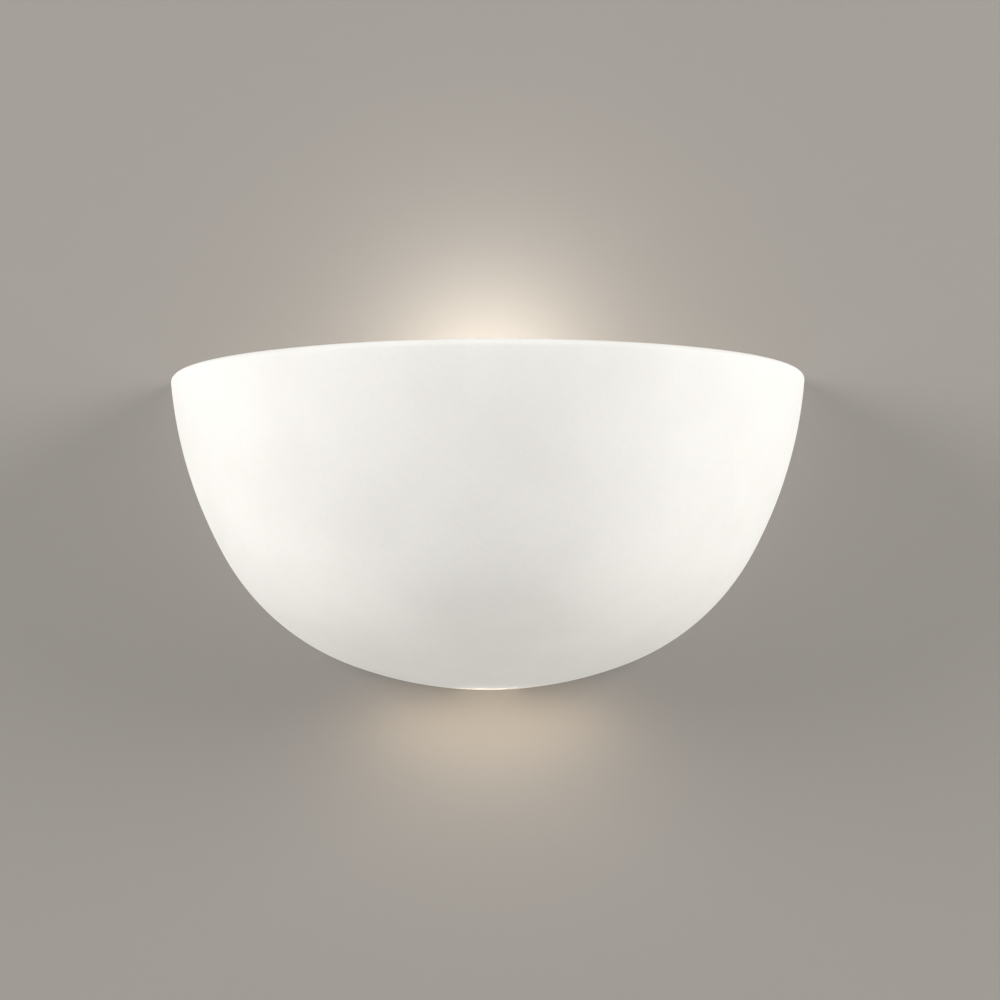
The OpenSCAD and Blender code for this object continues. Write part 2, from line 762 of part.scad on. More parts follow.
lead_d = 2.6;
ferrule_d = 1.6;
lead_x = 4.5;            // each lead's distance from the middle of the leg, in the clip
lead_depth = 9.6;        // depth of the leads' axes in the clip

// Both leads run from the terminal block, down and across behind the lamp, and through the clip. From
// there their routes are mirror images, so only the right-hand one is listed.
route_end = raised(-seat_drop, [
    [4.5, -9.6, 19], [5, -11.3, 14.5], [6.4, -15.5, 10.5], [7.6, -21, 8], [8, -27, 7.5], [8, -33.2, 7.5]
]);
live_route = concat([
    [-75, -13, -8.5], [-75, -13, -15], [-73.5, -12.6, -22], [-68, -11.8, -28.5], [-60, -11, -33]
], raised(clip_z, [
    [-51, -10.4, 23], [-41, -10, 21], [-31, -9.8, 19.5], [-22, -9.6, 18.5], [-13, -9.6, 17.7],
    [-5, -9.6, 16.5], [1, -9.6, 13.8], [4, -9.6, 9.7], [4.5, -9.6, 4.5]
]), route_end);
neutral_route = concat([
    [-85, -13, -8.5], [-85, -13, -16], [-83.5, -12.6, -24], [-78.5, -11.8, -31.5], [-70.5, -11, -37]
], raised(clip_z, [
    [-61, -10.4, 18], [-51, -10, 15.5], [-41, -9.8, 14], [-31, -9.6, 13], [-22, -9.6, 12.6],
    [-15, -9.6, 12.1], [-9, -9.6, 10.6], [-5.6, -9.6, 8], [-4.5, -9.6, 3.5]
]), [for (p = route_end) [-p[0], p[1], p[2]]]);

function raised(z, points) = [for (p = points) p + [0, 0, z]];

function unit(v) = v / norm(v);

// Direction of the route at point i: straight ends, and the mean of both neighbours between them.
function heading(route, i) =
    let (last = len(route) - 1, a = route[max(i - 1, 0)], b = route[min(i + 1, last)]) unit(b - a);

function ring(route, i, r, sides) =
    let (t = heading(route, i), u = unit(cross(t, [1, 1, 0])), v = cross(t, u))
    [for (k = [0 : sides - 1]) route[i] + r * (cos(360 * k / sides) * u + sin(360 * k / sides) * v)];

// Round tube swept along a route, with flat ends.
module tube(route, d, sides = 10) {
    rings = len(route);
    points = [for (i = [0 : rings - 1]) each ring(route, i, d / 2, sides)];
    walls = [for (i = [0 : rings - 2], k = [0 : sides - 1])
        let (a = i * sides + k, b = i * sides + (k + 1) % sides) [a, b, b + sides, a + sides]];
    flats = [for (q = walls) each [[q[0], q[1], q[2]], [q[0], q[2], q[3]]]];
    near = [for (k = [sides - 1 : -1 : 0]) k];
    far = [for (k = [0 : sides - 1]) (rings - 1) * sides + k];
    polyhedron(points, concat(flats, [near], [far]), convexity = 6);
}

module lead_live() { color("saddlebrown") tube(live_route, lead_d); }
module lead_neutral() { color("royalblue") tube(neutral_route, lead_d); }

// Crimped ends of both leads, inside the clamping tubes and the lampholder's terminals.
module lead_ferrules() {
    block_l_in = 11;
    holder_l_in = 6;
    color("silver") for (route = [live_route, neutral_route]) {
        translate(route[0]) cylinder(d = ferrule_d, h = block_l_in);
        translate(route[len(route) - 1]) rotate([90, 0, 0]) cylinder(d = ferrule_d, h = holder_l_in);
    }
}

// ---------------------------------------------------------------- lamp

globe_r = lamp_d / 2;
globe_z = lamp_l - globe_r;
joint_z = globe_z - globe_joint_drop;
joint_r = sqrt(globe_r * globe_r - globe_joint_drop * globe_joint_drop);
cap_t = 0.5;
cap_foot_z = 5.2;        // height at which the screw cap grips the black insulator
cap_foot_r = 11.2;
pip_h = 1.4;             // thickness of the centre contact

module lamp_globe() {
    color("white") on_contact() difference() {
        translate([0, 0, globe_z]) sphere(globe_r);
        translate([0, 0, globe_z]) sphere(globe_r - globe_t);
        translate([0, 0, joint_z - lamp_d]) cylinder(d = 2 * lamp_d, h = lamp_d);
    }
}

// White housing that flares from the screw cap to the globe, with a neck pushed down into the cap.
module lamp_housing() {
    neck_r = 11.6;
    neck_z = 10;
    foot_r = cap_d / 2 + 0.5;
    steps = 10;
    flare = [for (i = [0 : steps]) let (s = i / steps)
        [foot_r + (joint_r - foot_r) * (1 - cos(90 * s)) * 0.35 + (joint_r - foot_r) * s * 0.65,
         cap_l + (joint_z - cap_l) * s]];
    neck = [[0, neck_z], [neck_r, neck_z], [neck_r, cap_l]];
    color("whitesmoke") on_contact() rotate_extrude() polygon(concat(neck, flare, [[0, joint_z]]));
}

module lamp_screw_cap() {
    shoulder_z = 8;
    color("silver") on_contact() rotate_extrude() polygon([
        [cap_foot_r, cap_foot_z], [cap_d / 2, shoulder_z], [cap_d / 2, cap_l],
        [cap_d / 2 - cap_t, cap_l], [cap_d / 2 - cap_t, shoulder_z], [cap_foot_r - cap_t, cap_foot_z]
    ]);
}

module lamp_insulator() {
    color("black") on_contact() rotate_extrude() polygon([
        [0, pip_h], [5.6, pip_h], [cap_foot_r - cap_t, cap_foot_z - 0.6], [cap_foot_r - cap_t, cap_foot_z],
        [0, cap_foot_z]
    ]);
}

module lamp_centre_contact() {
    color("silver") on_contact() rotate_extrude() polygon([
        [0, 0], [3, 0], [4.6, 0.6], [4.8, pip_h], [0, pip_h]
    ]);
}

// Aluminium board with a ring of light-emitting chips, under the globe.
module lamp_led_board() {
    board_r = 21;
    board_t = 1.6;
    chips = 10;
    chip_ring_r = 15;
    chip = [2.8, 3.5, 0.8];
    color("silver") on_contact() translate([0, 0, joint_z]) {
        cylinder(r = board_r, h = board_t);
        for (i = [0 : chips - 1]) rotate(360 * i / chips)
            translate([chip_ring_r - chip[0] / 2, -chip[1] / 2, board_t]) cube(chip);
    }
}

shade_bowl();
thumbscrew_left();
thumbscrew_right();
fibre_washers();
wall_bar();
cable_grommet();
lamp_carrier();
carrier_rivets();
lead_clip();
holder_porcelain();
holder_screw_shell();
holder_centre_contact();
holder_terminals();
holder_terminal_screws();
holder_fixing_screws();
terminal_block();
clamp_tubes();
clamp_screws();
block_fixing_screw();
earth_screw();
earth_cup_washer();
earth_lock_washer();
lead_live();
lead_neutral();
lead_ferrules();
lamp_globe();
lamp_housing();
lamp_screw_cap();
lamp_insulator();
lamp_centre_contact();
lamp_led_board();
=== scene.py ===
# %% [markdown]
# # Half-bowl wall uplighter
#
# A plain white half bowl of unglazed ceramic hangs on a wall and throws the light of its lamp up the wall.
# Behind the bowl is the fitting that does the work: a pressed steel wall bar, a lampholder on a bent
# carrier, a terminal block, an earth screw and two leads. The solids of all these pieces come from the CAD
# frame. This script gives them their finishes, and swaps the ones whose real surface is finer than the solid
# for surfaces of its own.
#
# Every length below is written in millimetres and multiplied by MM, because Blender works in metres. The
# wall is the plane y = 0, the room is on its -Y side, and the origin is midway between the two wall screws.

import json
import math

import bmesh
import bpy
import numpy as np
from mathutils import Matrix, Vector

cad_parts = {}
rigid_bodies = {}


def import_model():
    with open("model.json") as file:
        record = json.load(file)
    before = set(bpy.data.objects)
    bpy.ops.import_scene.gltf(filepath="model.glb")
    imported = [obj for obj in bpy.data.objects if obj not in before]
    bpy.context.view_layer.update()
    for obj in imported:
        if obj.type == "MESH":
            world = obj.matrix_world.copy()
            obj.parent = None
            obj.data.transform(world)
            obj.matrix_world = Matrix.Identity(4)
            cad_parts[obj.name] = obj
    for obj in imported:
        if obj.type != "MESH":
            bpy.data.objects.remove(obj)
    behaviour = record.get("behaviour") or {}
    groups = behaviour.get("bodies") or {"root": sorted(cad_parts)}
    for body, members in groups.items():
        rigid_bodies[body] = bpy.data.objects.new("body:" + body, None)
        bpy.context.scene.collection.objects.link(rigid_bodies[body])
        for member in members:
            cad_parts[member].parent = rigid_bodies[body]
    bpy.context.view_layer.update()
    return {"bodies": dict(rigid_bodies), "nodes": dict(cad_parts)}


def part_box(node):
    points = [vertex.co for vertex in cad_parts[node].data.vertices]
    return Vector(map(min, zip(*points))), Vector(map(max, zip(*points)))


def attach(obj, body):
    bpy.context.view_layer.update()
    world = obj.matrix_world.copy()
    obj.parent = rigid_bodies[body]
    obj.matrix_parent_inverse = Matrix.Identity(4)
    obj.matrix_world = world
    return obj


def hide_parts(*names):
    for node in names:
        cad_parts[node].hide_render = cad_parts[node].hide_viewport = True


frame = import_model()
MM = 0.001

# %% [markdown]
# ## From arrays to a mesh
#
# Every new surface here is a grid of points: one direction runs along an outline, the other carries that
# outline round an axis or along a path. Blender can also build such shapes with the Screw or Curve tools,
# but an array keeps every point where the formula says, and whole arrays are worked out at once, so it is
# fast as well. Where a grid meets itself, at a seam or a pole, its doubled points are merged, and then the
# faces are turned outwards.

# %% Grids and meshes
def grid_faces(rows, columns, close_rows=False, close_columns=False):
    """Four-sided faces between the points of a grid. A closed direction joins its last line to its first."""
    r, c = np.meshgrid(
        np.arange(rows if close_rows else rows - 1),
        np.arange(columns if close_columns else columns - 1), indexing="ij")
    below, beside = (r + 1) % rows, (c + 1) % columns
    corners = [r * columns + c, r * columns + beside, below * columns + beside, below * columns + c]
    return np.stack(corners, -1).reshape(-1, 4)


def join_grids(*parts):
    """Several (points, faces) pairs as one. Each part's face numbers move past the points before it."""
    points, faces, start = [], [], 0
    for part_points, part_faces in parts:
        part_points = np.asarray(part_points, float).reshape(-1, 3)
        points.append(part_points)
        faces.extend((np.asarray(part_faces) + start).tolist())
        start += len(part_points)
    return np.concatenate(points), faces


def closed_mesh(name, parts, merge=2e-6):
    """One mesh from (points, faces) pairs, with its doubled points merged and its faces turned outwards."""
    points, faces = join_grids(*parts)
    mesh = bpy.data.meshes.new(name)
    mesh.from_pydata(points.tolist(), [], faces)
    shell = bmesh.new()
    shell.from_mesh(mesh)
    bmesh.ops.remove_doubles(shell, verts=shell.verts, dist=merge)
    bmesh.ops.dissolve_degenerate(shell, edges=shell.edges, dist=merge / 2)
    bmesh.ops.recalc_face_normals(shell, faces=shell.faces)
    open_edges = sum(not e.is_manifold for e in shell.edges)
    shell.to_mesh(mesh)
    shell.free()
    mesh.polygons.foreach_set("use_smooth", np.ones(len(mesh.polygons), bool))
    mesh.set_sharp_from_angle(angle=math.radians(40))
    print(f"{name}: {len(mesh.polygons)} faces, {open_edges} open edges")
    return mesh


print("a grid of 3 by 4 points has", len(grid_faces(3, 4)), "faces")

# %% [markdown]
# A finished mesh becomes an object that rides on one body of the frame, so that it moves with it, and it may
# stand for a solid of the CAD. Slots and holes are cut once the piece is whole, as on a real bench. In
# Blender that is a Boolean modifier. Its result is kept as the mesh, so that nothing has to be worked out
# again later.

# %% Pieces and cuts
def make_piece(name, parts, material, body, stands_for=None, merge=2e-6):
    """Puts (points, faces) pairs into one closed mesh and sets it on a body of the frame."""
    mesh = closed_mesh(name, parts, merge)
    mesh.materials.append(material)
    piece = bpy.data.objects.new(name, mesh)
    bpy.context.scene.collection.objects.link(piece)
    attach(piece, body)
    if stands_for:
        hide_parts(stands_for)
    return piece


def cut_out(piece, *parts):
    """Takes closed grids out of a piece. Where parts of the piece overlap, they become one skin."""
    cutter = bpy.data.objects.new("cutter", closed_mesh("cutter", parts))
    bpy.context.scene.collection.objects.link(cutter)
    tool = piece.modifiers.new("Cut", "BOOLEAN")
    tool.operation, tool.solver, tool.use_self, tool.object = "DIFFERENCE", "EXACT", True, cutter
    result = piece.evaluated_get(bpy.context.evaluated_depsgraph_get())
    cut_mesh = bpy.data.meshes.new_from_object(result)
    piece.modifiers.clear()
    piece.data = cut_mesh
    bpy.data.objects.remove(cutter)
    cut_mesh.set_sharp_from_angle(angle=math.radians(35))
    print(f"{piece.name}: {len(cut_mesh.polygons)} faces after the cut")


# %% [markdown]
# Most small pieces of a lamp come off a lathe. Their outline is drawn as half a section, its corners are
# rounded, and it is carried round the axis. Drawing the corner first and rounding it after keeps the sizes
# readable.

# %% Outlines and turned parts
def soften(outline, radius, steps=3, closed=False):
    """Rounds the corners of an outline. Each corner becomes a short curve (1-t)^2 A + 2t(1-t) P + t^2 B,
    whose ends A and B lie on the two sides that meet at P, one radius from it, or half a side where the side
    is shorter."""
    p = np.asarray(outline, float)
    before, after = np.roll(p, 1, 0), np.roll(p, -1, 0)

    def towards(other):
        side = other - p
        length = np.linalg.norm(side, axis=1, keepdims=True)
        return p + side / np.maximum(length, 1e-12) * np.minimum(np.reshape(radius, (-1, 1)), length / 2)

    t = np.linspace(0, 1, steps + 1)[None, :, None]
    a, b = towards(before)[:, None], towards(after)[:, None]
    curve = (1 - t) ** 2 * a + 2 * t * (1 - t) * p[:, None] + t ** 2 * b
    if not closed:
        curve[0], curve[-1] = p[0], p[-1]
    return curve.reshape(-1, 2)


def lathe(outline, around=96, closed=False):
    """An outline carried round the Z axis, where point = (radius cos a, radius sin a, height)."""
    radius, height = np.asarray(outline, float).T
    a = np.arange(around) * 2 * np.pi / around
    points = np.stack([radius[:, None] * np.cos(a), radius[:, None] * np.sin(a),
                       np.repeat(height[:, None], around, 1)], -1)
    return points.reshape(-1, 3), grid_faces(len(radius), around, closed, True)


def outwards(part, x=0.0):
    """Turns a part so that its height becomes its depth out from the wall, and moves its axis to x."""
    points, faces = part
    points = np.asarray(points).reshape(-1, 3)
    return np.stack([points[:, 0] + x, -points[:, 2], points[:, 1]], -1), faces


def moved(part, x, y, z):
    """A part moved by (x, y, z)."""
    points, faces = part
    return np.asarray(points).reshape(-1, 3) + (x, y, z), faces


print("a square with round corners has",
      len(soften([(0, 0), (1, 0), (1, 1), (0, 1)], 0.2, closed=True)), "points")

# %% [markdown]
# ## Shared effects
#
# Real surfaces are never one flat colour. Five effects are enough for every finish here, and each is a node
# group that is built once and then placed in the materials with that material's own values: a drift between
# two colours, a drift between two roughnesses, a fine grain, drawn lines in metal, and worn edges. They read
# Object coordinates, so a pattern keeps its true size in metres and rides along with its piece.

# %% Helpers for node trees
def add_node(tree, kind, inputs=None, **settings):
    """Adds a node. In inputs, a socket is linked and any other value is stored on the node's own socket."""
    node = tree.nodes.new(kind)
    for name, value in settings.items():
        setattr(node, name, value)
    for name, value in (inputs or {}).items():
        if isinstance(value, bpy.types.NodeSocket):
            tree.links.new(value, node.inputs[name])
        else:
            node.inputs[name].default_value = value
    return node


def math_node(tree, operation, *values):
    """The output of a Math node. Its values are sockets or numbers."""
    return add_node(tree, "ShaderNodeMath", dict(enumerate(values)), operation=operation).outputs[0]


def new_group(name, inputs, outputs):
    """An empty node group. Sockets are given as name: default value, where four numbers mean a colour."""
    tree = bpy.data.node_groups.new(name, "ShaderNodeTree")
    for names, side in ((inputs, "INPUT"), (outputs, "OUTPUT")):
        for socket_name, value in names.items():
            kind = "NodeSocketColor" if isinstance(value, tuple) else "NodeSocketFloat"
            socket = tree.interface.new_socket(socket_name, in_out=side, socket_type=kind)
            if side == "INPUT":
                socket.default_value = value
    return tree, tree.nodes.new("NodeGroupInput").outputs, tree.nodes.new("NodeGroupOutput").inputs


def place_group(tree, group, **inputs):
    """Places a node group. Underscores in an input's name stand for spaces."""
    node = add_node(tree, "ShaderNodeGroup", node_tree=group)
    for name, value in inputs.items():
        socket = node.inputs[name.replace("_", " ").capitalize()]
        if isinstance(value, bpy.types.NodeSocket):
            tree.links.new(value, socket)
        else:
            socket.default_value = value
    return node.outputs


def noise(tree, scale, detail=3.0, roughness=0.55, vector=None):
    """Noise between about 0.3 and 0.7 on Object coordinates, with scale in patches per metre."""
    vector = vector or add_node(tree, "ShaderNodeTexCoord").outputs["Object"]
    return add_node(tree, "ShaderNodeTexNoise", {
        "Vector": vector, "Scale": scale, "Detail": detail, "Roughness": roughness}).outputs[0]


def spread(tree, value, low, high, to_low=0.0, to_high=1.0):
    """Stretches value from low..high to to_low..to_high, smoothly, and stops at the ends."""
    return add_node(tree, "ShaderNodeMapRange", {
        "Value": value, "From Min": low, "From Max": high, "To Min": to_low, "To Max": to_high
    }, interpolation_type="SMOOTHSTEP").outputs[0]


print("node helpers ready,", len(bpy.data.node_groups), "groups so far")

# %% [markdown]
# A tone drift mixes two colours in soft patches, with a finer speckle on top, as clay, plating and porcelain
# do. The roughness drift does the same with two numbers, so that a highlight breaks up instead of sliding
# over glass.

# %% Tone drift and roughness drift
tone_drift, given, out = new_group(
    "Tone drift",
    {"Tone": (0.8, 0.8, 0.8, 1), "Other tone": (0.7, 0.7, 0.7, 1), "Patches": 30.0, "Speckle": 0.3},
    {"Colour": (0, 0, 0, 1)})
patches = spread(tone_drift, noise(tone_drift, given["Patches"], 4.0), 0.32, 0.68)
fine = noise(tone_drift, math_node(tone_drift, "MULTIPLY", given["Patches"], 37.0), 2.0)
speckle = math_node(tone_drift, "MULTIPLY", spread(tone_drift, fine, 0.45, 0.75), given["Speckle"])
share = add_node(tone_drift, "ShaderNodeMath", {0: patches, 1: speckle}, operation="ADD", use_clamp=True)
mixed = add_node(tone_drift, "ShaderNodeMix", {
    "Factor": share.outputs[0], "A": given["Tone"], "B": given["Other tone"]}, data_type="RGBA")
tone_drift.links.new(mixed.outputs["Result"], out["Colour"])

roughness_drift, given, out = new_group(
    "Roughness drift", {"Low": 0.3, "High": 0.5, "Patches": 60.0}, {"Roughness": 0.0})
smear = noise(roughness_drift, given["Patches"], 5.0, 0.65)
levels = spread(roughness_drift, smear, 0.33, 0.67)
span = math_node(roughness_drift, "SUBTRACT", given["High"], given["Low"])
roughness_drift.links.new(
    math_node(roughness_drift, "MULTIPLY_ADD", levels, span, given["Low"]), out["Roughness"])
print(len(tone_drift.nodes), "nodes in the tone drift,", len(roughness_drift.nodes), "in the roughness drift")

# %% [markdown]
# Grain is the fine relief of a surface: two sizes of noise, and small round pits for unglazed clay. Its
# output is a height for a Bump node. The sizes are patches per metre, so 2000 is a grain of half a
# millimetre.

# %% Grain and pits
grain, given, out = new_group(
    "Grain", {"Coarse": 300.0, "Fine": 2000.0, "Pits": 0.0, "Pit size": 900.0}, {"Height": 0.0})
coarse_relief = noise(grain, given["Coarse"], 3.0)
fine_relief = noise(grain, given["Fine"], 2.0)
relief = math_node(grain, "MULTIPLY_ADD", fine_relief, 0.5, coarse_relief)
cells = add_node(grain, "ShaderNodeTexVoronoi", {
    "Vector": add_node(grain, "ShaderNodeTexCoord").outputs["Object"],
    "Scale": given["Pit size"], "Randomness": 1.0})
near = spread(grain, cells.outputs["Distance"], 0.08, 0.26, 1.0, 0.0)
some = spread(grain, noise(grain, math_node(grain, "MULTIPLY", given["Pit size"], 0.4), 2.0), 0.52, 0.62)
pit = math_node(grain, "MULTIPLY", near, some)
depth = math_node(grain, "MULTIPLY", pit, given["Pits"])
grain.links.new(math_node(grain, "SUBTRACT", relief, depth), out["Height"])
print(len(grain.nodes), "nodes in the grain")

# %% [markdown]
# Drawn lines are the fine marks that rolling, turning or drawing leaves in metal and plastic: noise that is
# squeezed along one axis. Few and deep lines read as scratches, many and shallow ones as a brushed finish.

# %% Drawn lines
drawn_lines, given, out = new_group(
    "Drawn lines", {"Along x": 1.0, "Along y": 1.0, "Along z": 1.0, "Lines": 600.0},
    {"Height": 0.0, "Mask": 0.0})
squeeze = add_node(drawn_lines, "ShaderNodeCombineXYZ", {
    "X": given["Along x"], "Y": given["Along y"], "Z": given["Along z"]})
squeezed = add_node(drawn_lines, "ShaderNodeVectorMath", {
    0: add_node(drawn_lines, "ShaderNodeTexCoord").outputs["Object"],
    1: squeeze.outputs[0]}, operation="MULTIPLY")
lines = noise(drawn_lines, given["Lines"], 4.0, 0.6, squeezed.outputs[0])
drawn_lines.links.new(lines, out["Height"])
drawn_lines.links.new(spread(drawn_lines, lines, 0.56, 0.7), out["Mask"])
print(len(drawn_lines.nodes), "nodes in the drawn lines")

# %% [markdown]
# Worn edges are found by comparing two normals: the surface's own, and one rounded off over a small radius.
# They differ only near an edge. Noise breaks the line up, because hands and tools never rub an edge evenly.

# %% Worn edges
edge_wear, given, out = new_group(
    "Edge wear", {"Radius": 0.0006, "Break up": 400.0, "Amount": 1.0}, {"Mask": 0.0})
rounded_normal = add_node(edge_wear, "ShaderNodeBevel", {"Radius": given["Radius"]}, samples=4)
true_normal = add_node(edge_wear, "ShaderNodeNewGeometry").outputs["Normal"]
likeness = add_node(edge_wear, "ShaderNodeVectorMath", {0: rounded_normal.outputs[0], 1: true_normal},
                    operation="DOT_PRODUCT").outputs["Value"]
edge = spread(edge_wear, likeness, 0.995, 0.9, 0.0, 1.0)
broken = spread(edge_wear, noise(edge_wear, given["Break up"], 4.0, 0.7), 0.4, 0.6)
edge_wear.links.new(
    math_node(edge_wear, "MULTIPLY", math_node(edge_wear, "MULTIPLY", edge, broken), given["Amount"]),
    out["Mask"])
print(len(bpy.data.node_groups), "node groups")

# %% [markdown]
# ## Finishes
#
# One function places the shared effects in a material, because every finish needs the same five things: a
# tone that drifts, a roughness that drifts, a grain, lines, and worn edges. What makes porcelain differ from
# plated steel is only the values. The Principled shader and its plain values stay in the material itself.

# %% One function for all finishes
SCRATCH_ROUGHNESS = 0.12                        # a drawn line is this much rougher than the face beside it


def finish(name, tone, other_tone, patches=40.0, speckle=0.3, rough=(0.4, 0.6), smears=80.0, metal=0.0,
           coarse=300.0, fine=2000.0, pits=0.0, pit_size=900.0, relief=0.05, lines=None, line_relief=0.02,
           worn_tone=None, wear=0.6, wear_radius=0.6, break_up=400.0, **plain):
    """A material from the shared effects. Tones are linear colours, relief is in millimetres, and plain
    values such as coat_weight go straight to the Principled shader's own sockets."""
    material = bpy.data.materials.new(name)
    material.use_nodes = True
    tree = material.node_tree
    shader = tree.nodes["Principled BSDF"]
    colour = place_group(tree, tone_drift, tone=(*tone, 1), other_tone=(*other_tone, 1),
                         patches=patches, speckle=speckle)["Colour"]
    roughness = place_group(tree, roughness_drift, low=rough[0], high=rough[1], patches=smears)["Roughness"]
    surface = place_group(tree, grain, coarse=coarse, fine=fine, pits=pits, pit_size=pit_size)
    worn = place_group(tree, edge_wear, radius=wear_radius * MM, break_up=break_up, amount=wear)["Mask"]
    worn_colour = add_node(tree, "ShaderNodeMix", {
        "Factor": worn, "A": colour, "B": (*(worn_tone or other_tone), 1)}, data_type="RGBA")
    bump = add_node(tree, "ShaderNodeBump", {
        "Height": surface["Height"], "Strength": 1.0, "Distance": relief * MM})
    if lines:
        drawn = place_group(tree, drawn_lines, along_x=lines[0], along_y=lines[1], along_z=lines[2],
                            lines=lines[3])
        bump = add_node(tree, "ShaderNodeBump", {
            "Height": drawn["Height"], "Strength": 1.0, "Distance": line_relief * MM,
            "Normal": bump.outputs["Normal"]})
        roughness = add_node(tree, "ShaderNodeMath", {0: drawn["Mask"], 1: SCRATCH_ROUGHNESS, 2: roughness},
                             operation="MULTIPLY_ADD", use_clamp=True).outputs[0]
    tree.links.new(worn_colour.outputs["Result"], shader.inputs["Base Color"])
    tree.links.new(roughness, shader.inputs["Roughness"])
    tree.links.new(bump.outputs["Normal"], shader.inputs["Normal"])
    shader.inputs["Metallic"].default_value = metal
    for socket, value in plain.items():
        shader.inputs[socket.replace("_", " ").title()].default_value = value
    return material


print("a finish is made from", len(bpy.data.node_groups), "shared effects")

# %% [markdown]
# Unglazed clay is matt all over, with pin-sized pits and a slightly grey rim where hands have held it. Zinc
# plate is dull and patchy with fine rolling lines, nickel and brass are smoother and show turning marks, and
# the plastics and porcelain differ in how broken their highlight is.

# %% The finishes of this piece
bisque = finish("bisque", (0.86, 0.85, 0.825), (0.815, 0.805, 0.78), patches=14, speckle=0.35,
                rough=(0.72, 0.9), smears=50, coarse=260, fine=2600, pits=0.5, pit_size=420, relief=0.06,
                worn_tone=(0.72, 0.70, 0.66), wear=0.45, wear_radius=0.9, break_up=260)
zinc_steel = finish("zinc_steel", (0.62, 0.64, 0.66), (0.48, 0.50, 0.53), patches=90, speckle=0.5,
                    rough=(0.28, 0.46), smears=140, metal=1.0, coarse=700, fine=4000, relief=0.02,
                    lines=(0.06, 1, 1, 2200), line_relief=0.015, worn_tone=(0.78, 0.78, 0.78), wear=0.7,
                    wear_radius=0.3)
plated_brass = finish("nickel_brass", (0.70, 0.68, 0.62), (0.58, 0.56, 0.50), patches=160, speckle=0.4,
                      rough=(0.16, 0.32), smears=260, metal=1.0, coarse=1200, fine=6000, relief=0.008,
                      lines=(1, 0.1, 1, 3000), line_relief=0.006, worn_tone=(0.74, 0.60, 0.30), wear=0.7,
                      wear_radius=0.25, break_up=900)
brass = finish("brass", (0.78, 0.57, 0.24), (0.62, 0.42, 0.16), patches=170, speckle=0.4, rough=(0.2, 0.4),
               smears=240, metal=1.0, coarse=1200, fine=6000, relief=0.01, lines=(1, 1, 0.1, 2600),
               line_relief=0.008, worn_tone=(0.9, 0.74, 0.40), wear=0.6, wear_radius=0.25, break_up=900)
fibre = finish("fibre", (0.34, 0.055, 0.035), (0.24, 0.04, 0.03), patches=300, speckle=0.6, rough=(0.6, 0.8),
               coarse=900, fine=5000, relief=0.03, worn_tone=(0.46, 0.16, 0.12), wear=0.6, wear_radius=0.3)
rubber = finish("rubber", (0.028, 0.028, 0.03), (0.045, 0.044, 0.043), patches=200, speckle=0.5,
                rough=(0.5, 0.7), coarse=800, fine=4000, relief=0.02, worn_tone=(0.09, 0.09, 0.088),
                wear=0.5, wear_radius=0.4)
nylon = finish("nylon", (0.80, 0.78, 0.70), (0.74, 0.71, 0.62), patches=120, speckle=0.2, rough=(0.35, 0.5),
               coarse=500, fine=3000, relief=0.02, worn_tone=(0.88, 0.87, 0.82), wear=0.4, wear_radius=0.3)
porcelain = finish("porcelain", (0.82, 0.81, 0.77), (0.76, 0.75, 0.70), patches=90, speckle=0.2,
                   rough=(0.14, 0.26), smears=160, coarse=220, fine=1200, relief=0.03, pits=0.3, pit_size=700,
                   worn_tone=(0.70, 0.67, 0.60), wear=0.3, wear_radius=0.5, coat_weight=0.4)
block_plastic = finish("block", (0.83, 0.81, 0.74), (0.78, 0.75, 0.66), patches=140, speckle=0.2,
                       rough=(0.3, 0.45), coarse=500, fine=3000, relief=0.015, worn_tone=(0.9, 0.89, 0.85),
                       wear=0.4, wear_radius=0.25)
brown_sleeve = finish("lead_brown", (0.13, 0.055, 0.028), (0.09, 0.038, 0.02), patches=220, speckle=0.3,
                      rough=(0.3, 0.5), coarse=900, fine=4000, relief=0.012, wear=0.2, wear_radius=0.2)
blue_sleeve = finish("lead_blue", (0.03, 0.14, 0.42), (0.02, 0.10, 0.32), patches=220, speckle=0.3,
                     rough=(0.3, 0.5), coarse=900, fine=4000, relief=0.012, wear=0.2, wear_radius=0.2)
lamp_white = finish("lamp_white", (0.84, 0.84, 0.82), (0.80, 0.80, 0.775), patches=80, speckle=0.15,
                    rough=(0.28, 0.4), coarse=500, fine=2500, relief=0.012, wear=0.3, wear_radius=0.3)
nickel_cap = finish("nickel_cap", (0.74, 0.73, 0.70), (0.62, 0.61, 0.57), patches=150, speckle=0.4,
                    rough=(0.14, 0.3), smears=220, metal=1.0, coarse=1000, fine=5000, relief=0.008,
                    lines=(1, 1, 0.08, 2400), line_relief=0.006, worn_tone=(0.82, 0.80, 0.76), wear=0.5,
                    wear_radius=0.25, break_up=900)
black_glass = finish("black_glass", (0.012, 0.012, 0.016), (0.02, 0.02, 0.026), patches=220, speckle=0.2,
                     rough=(0.08, 0.2), coarse=600, fine=3000, relief=0.008, wear=0.2, wear_radius=0.3)
board = finish("board", (0.80, 0.80, 0.78), (0.72, 0.72, 0.68), patches=200, speckle=0.3, rough=(0.35, 0.5),
               coarse=900, fine=4000, relief=0.01, wear=0.3, wear_radius=0.2)
print(len(bpy.data.materials), "materials")

# %% [markdown]
# The globe is an opal shell that is lit from inside. Its glow is a plain emission that fades from the middle
# of the globe towards its neck, where less of the light gets through. The light that it throws on other
# things comes from a lamp of its own, added with the other lights, so that the shell itself is not burnt out
# in the picture.

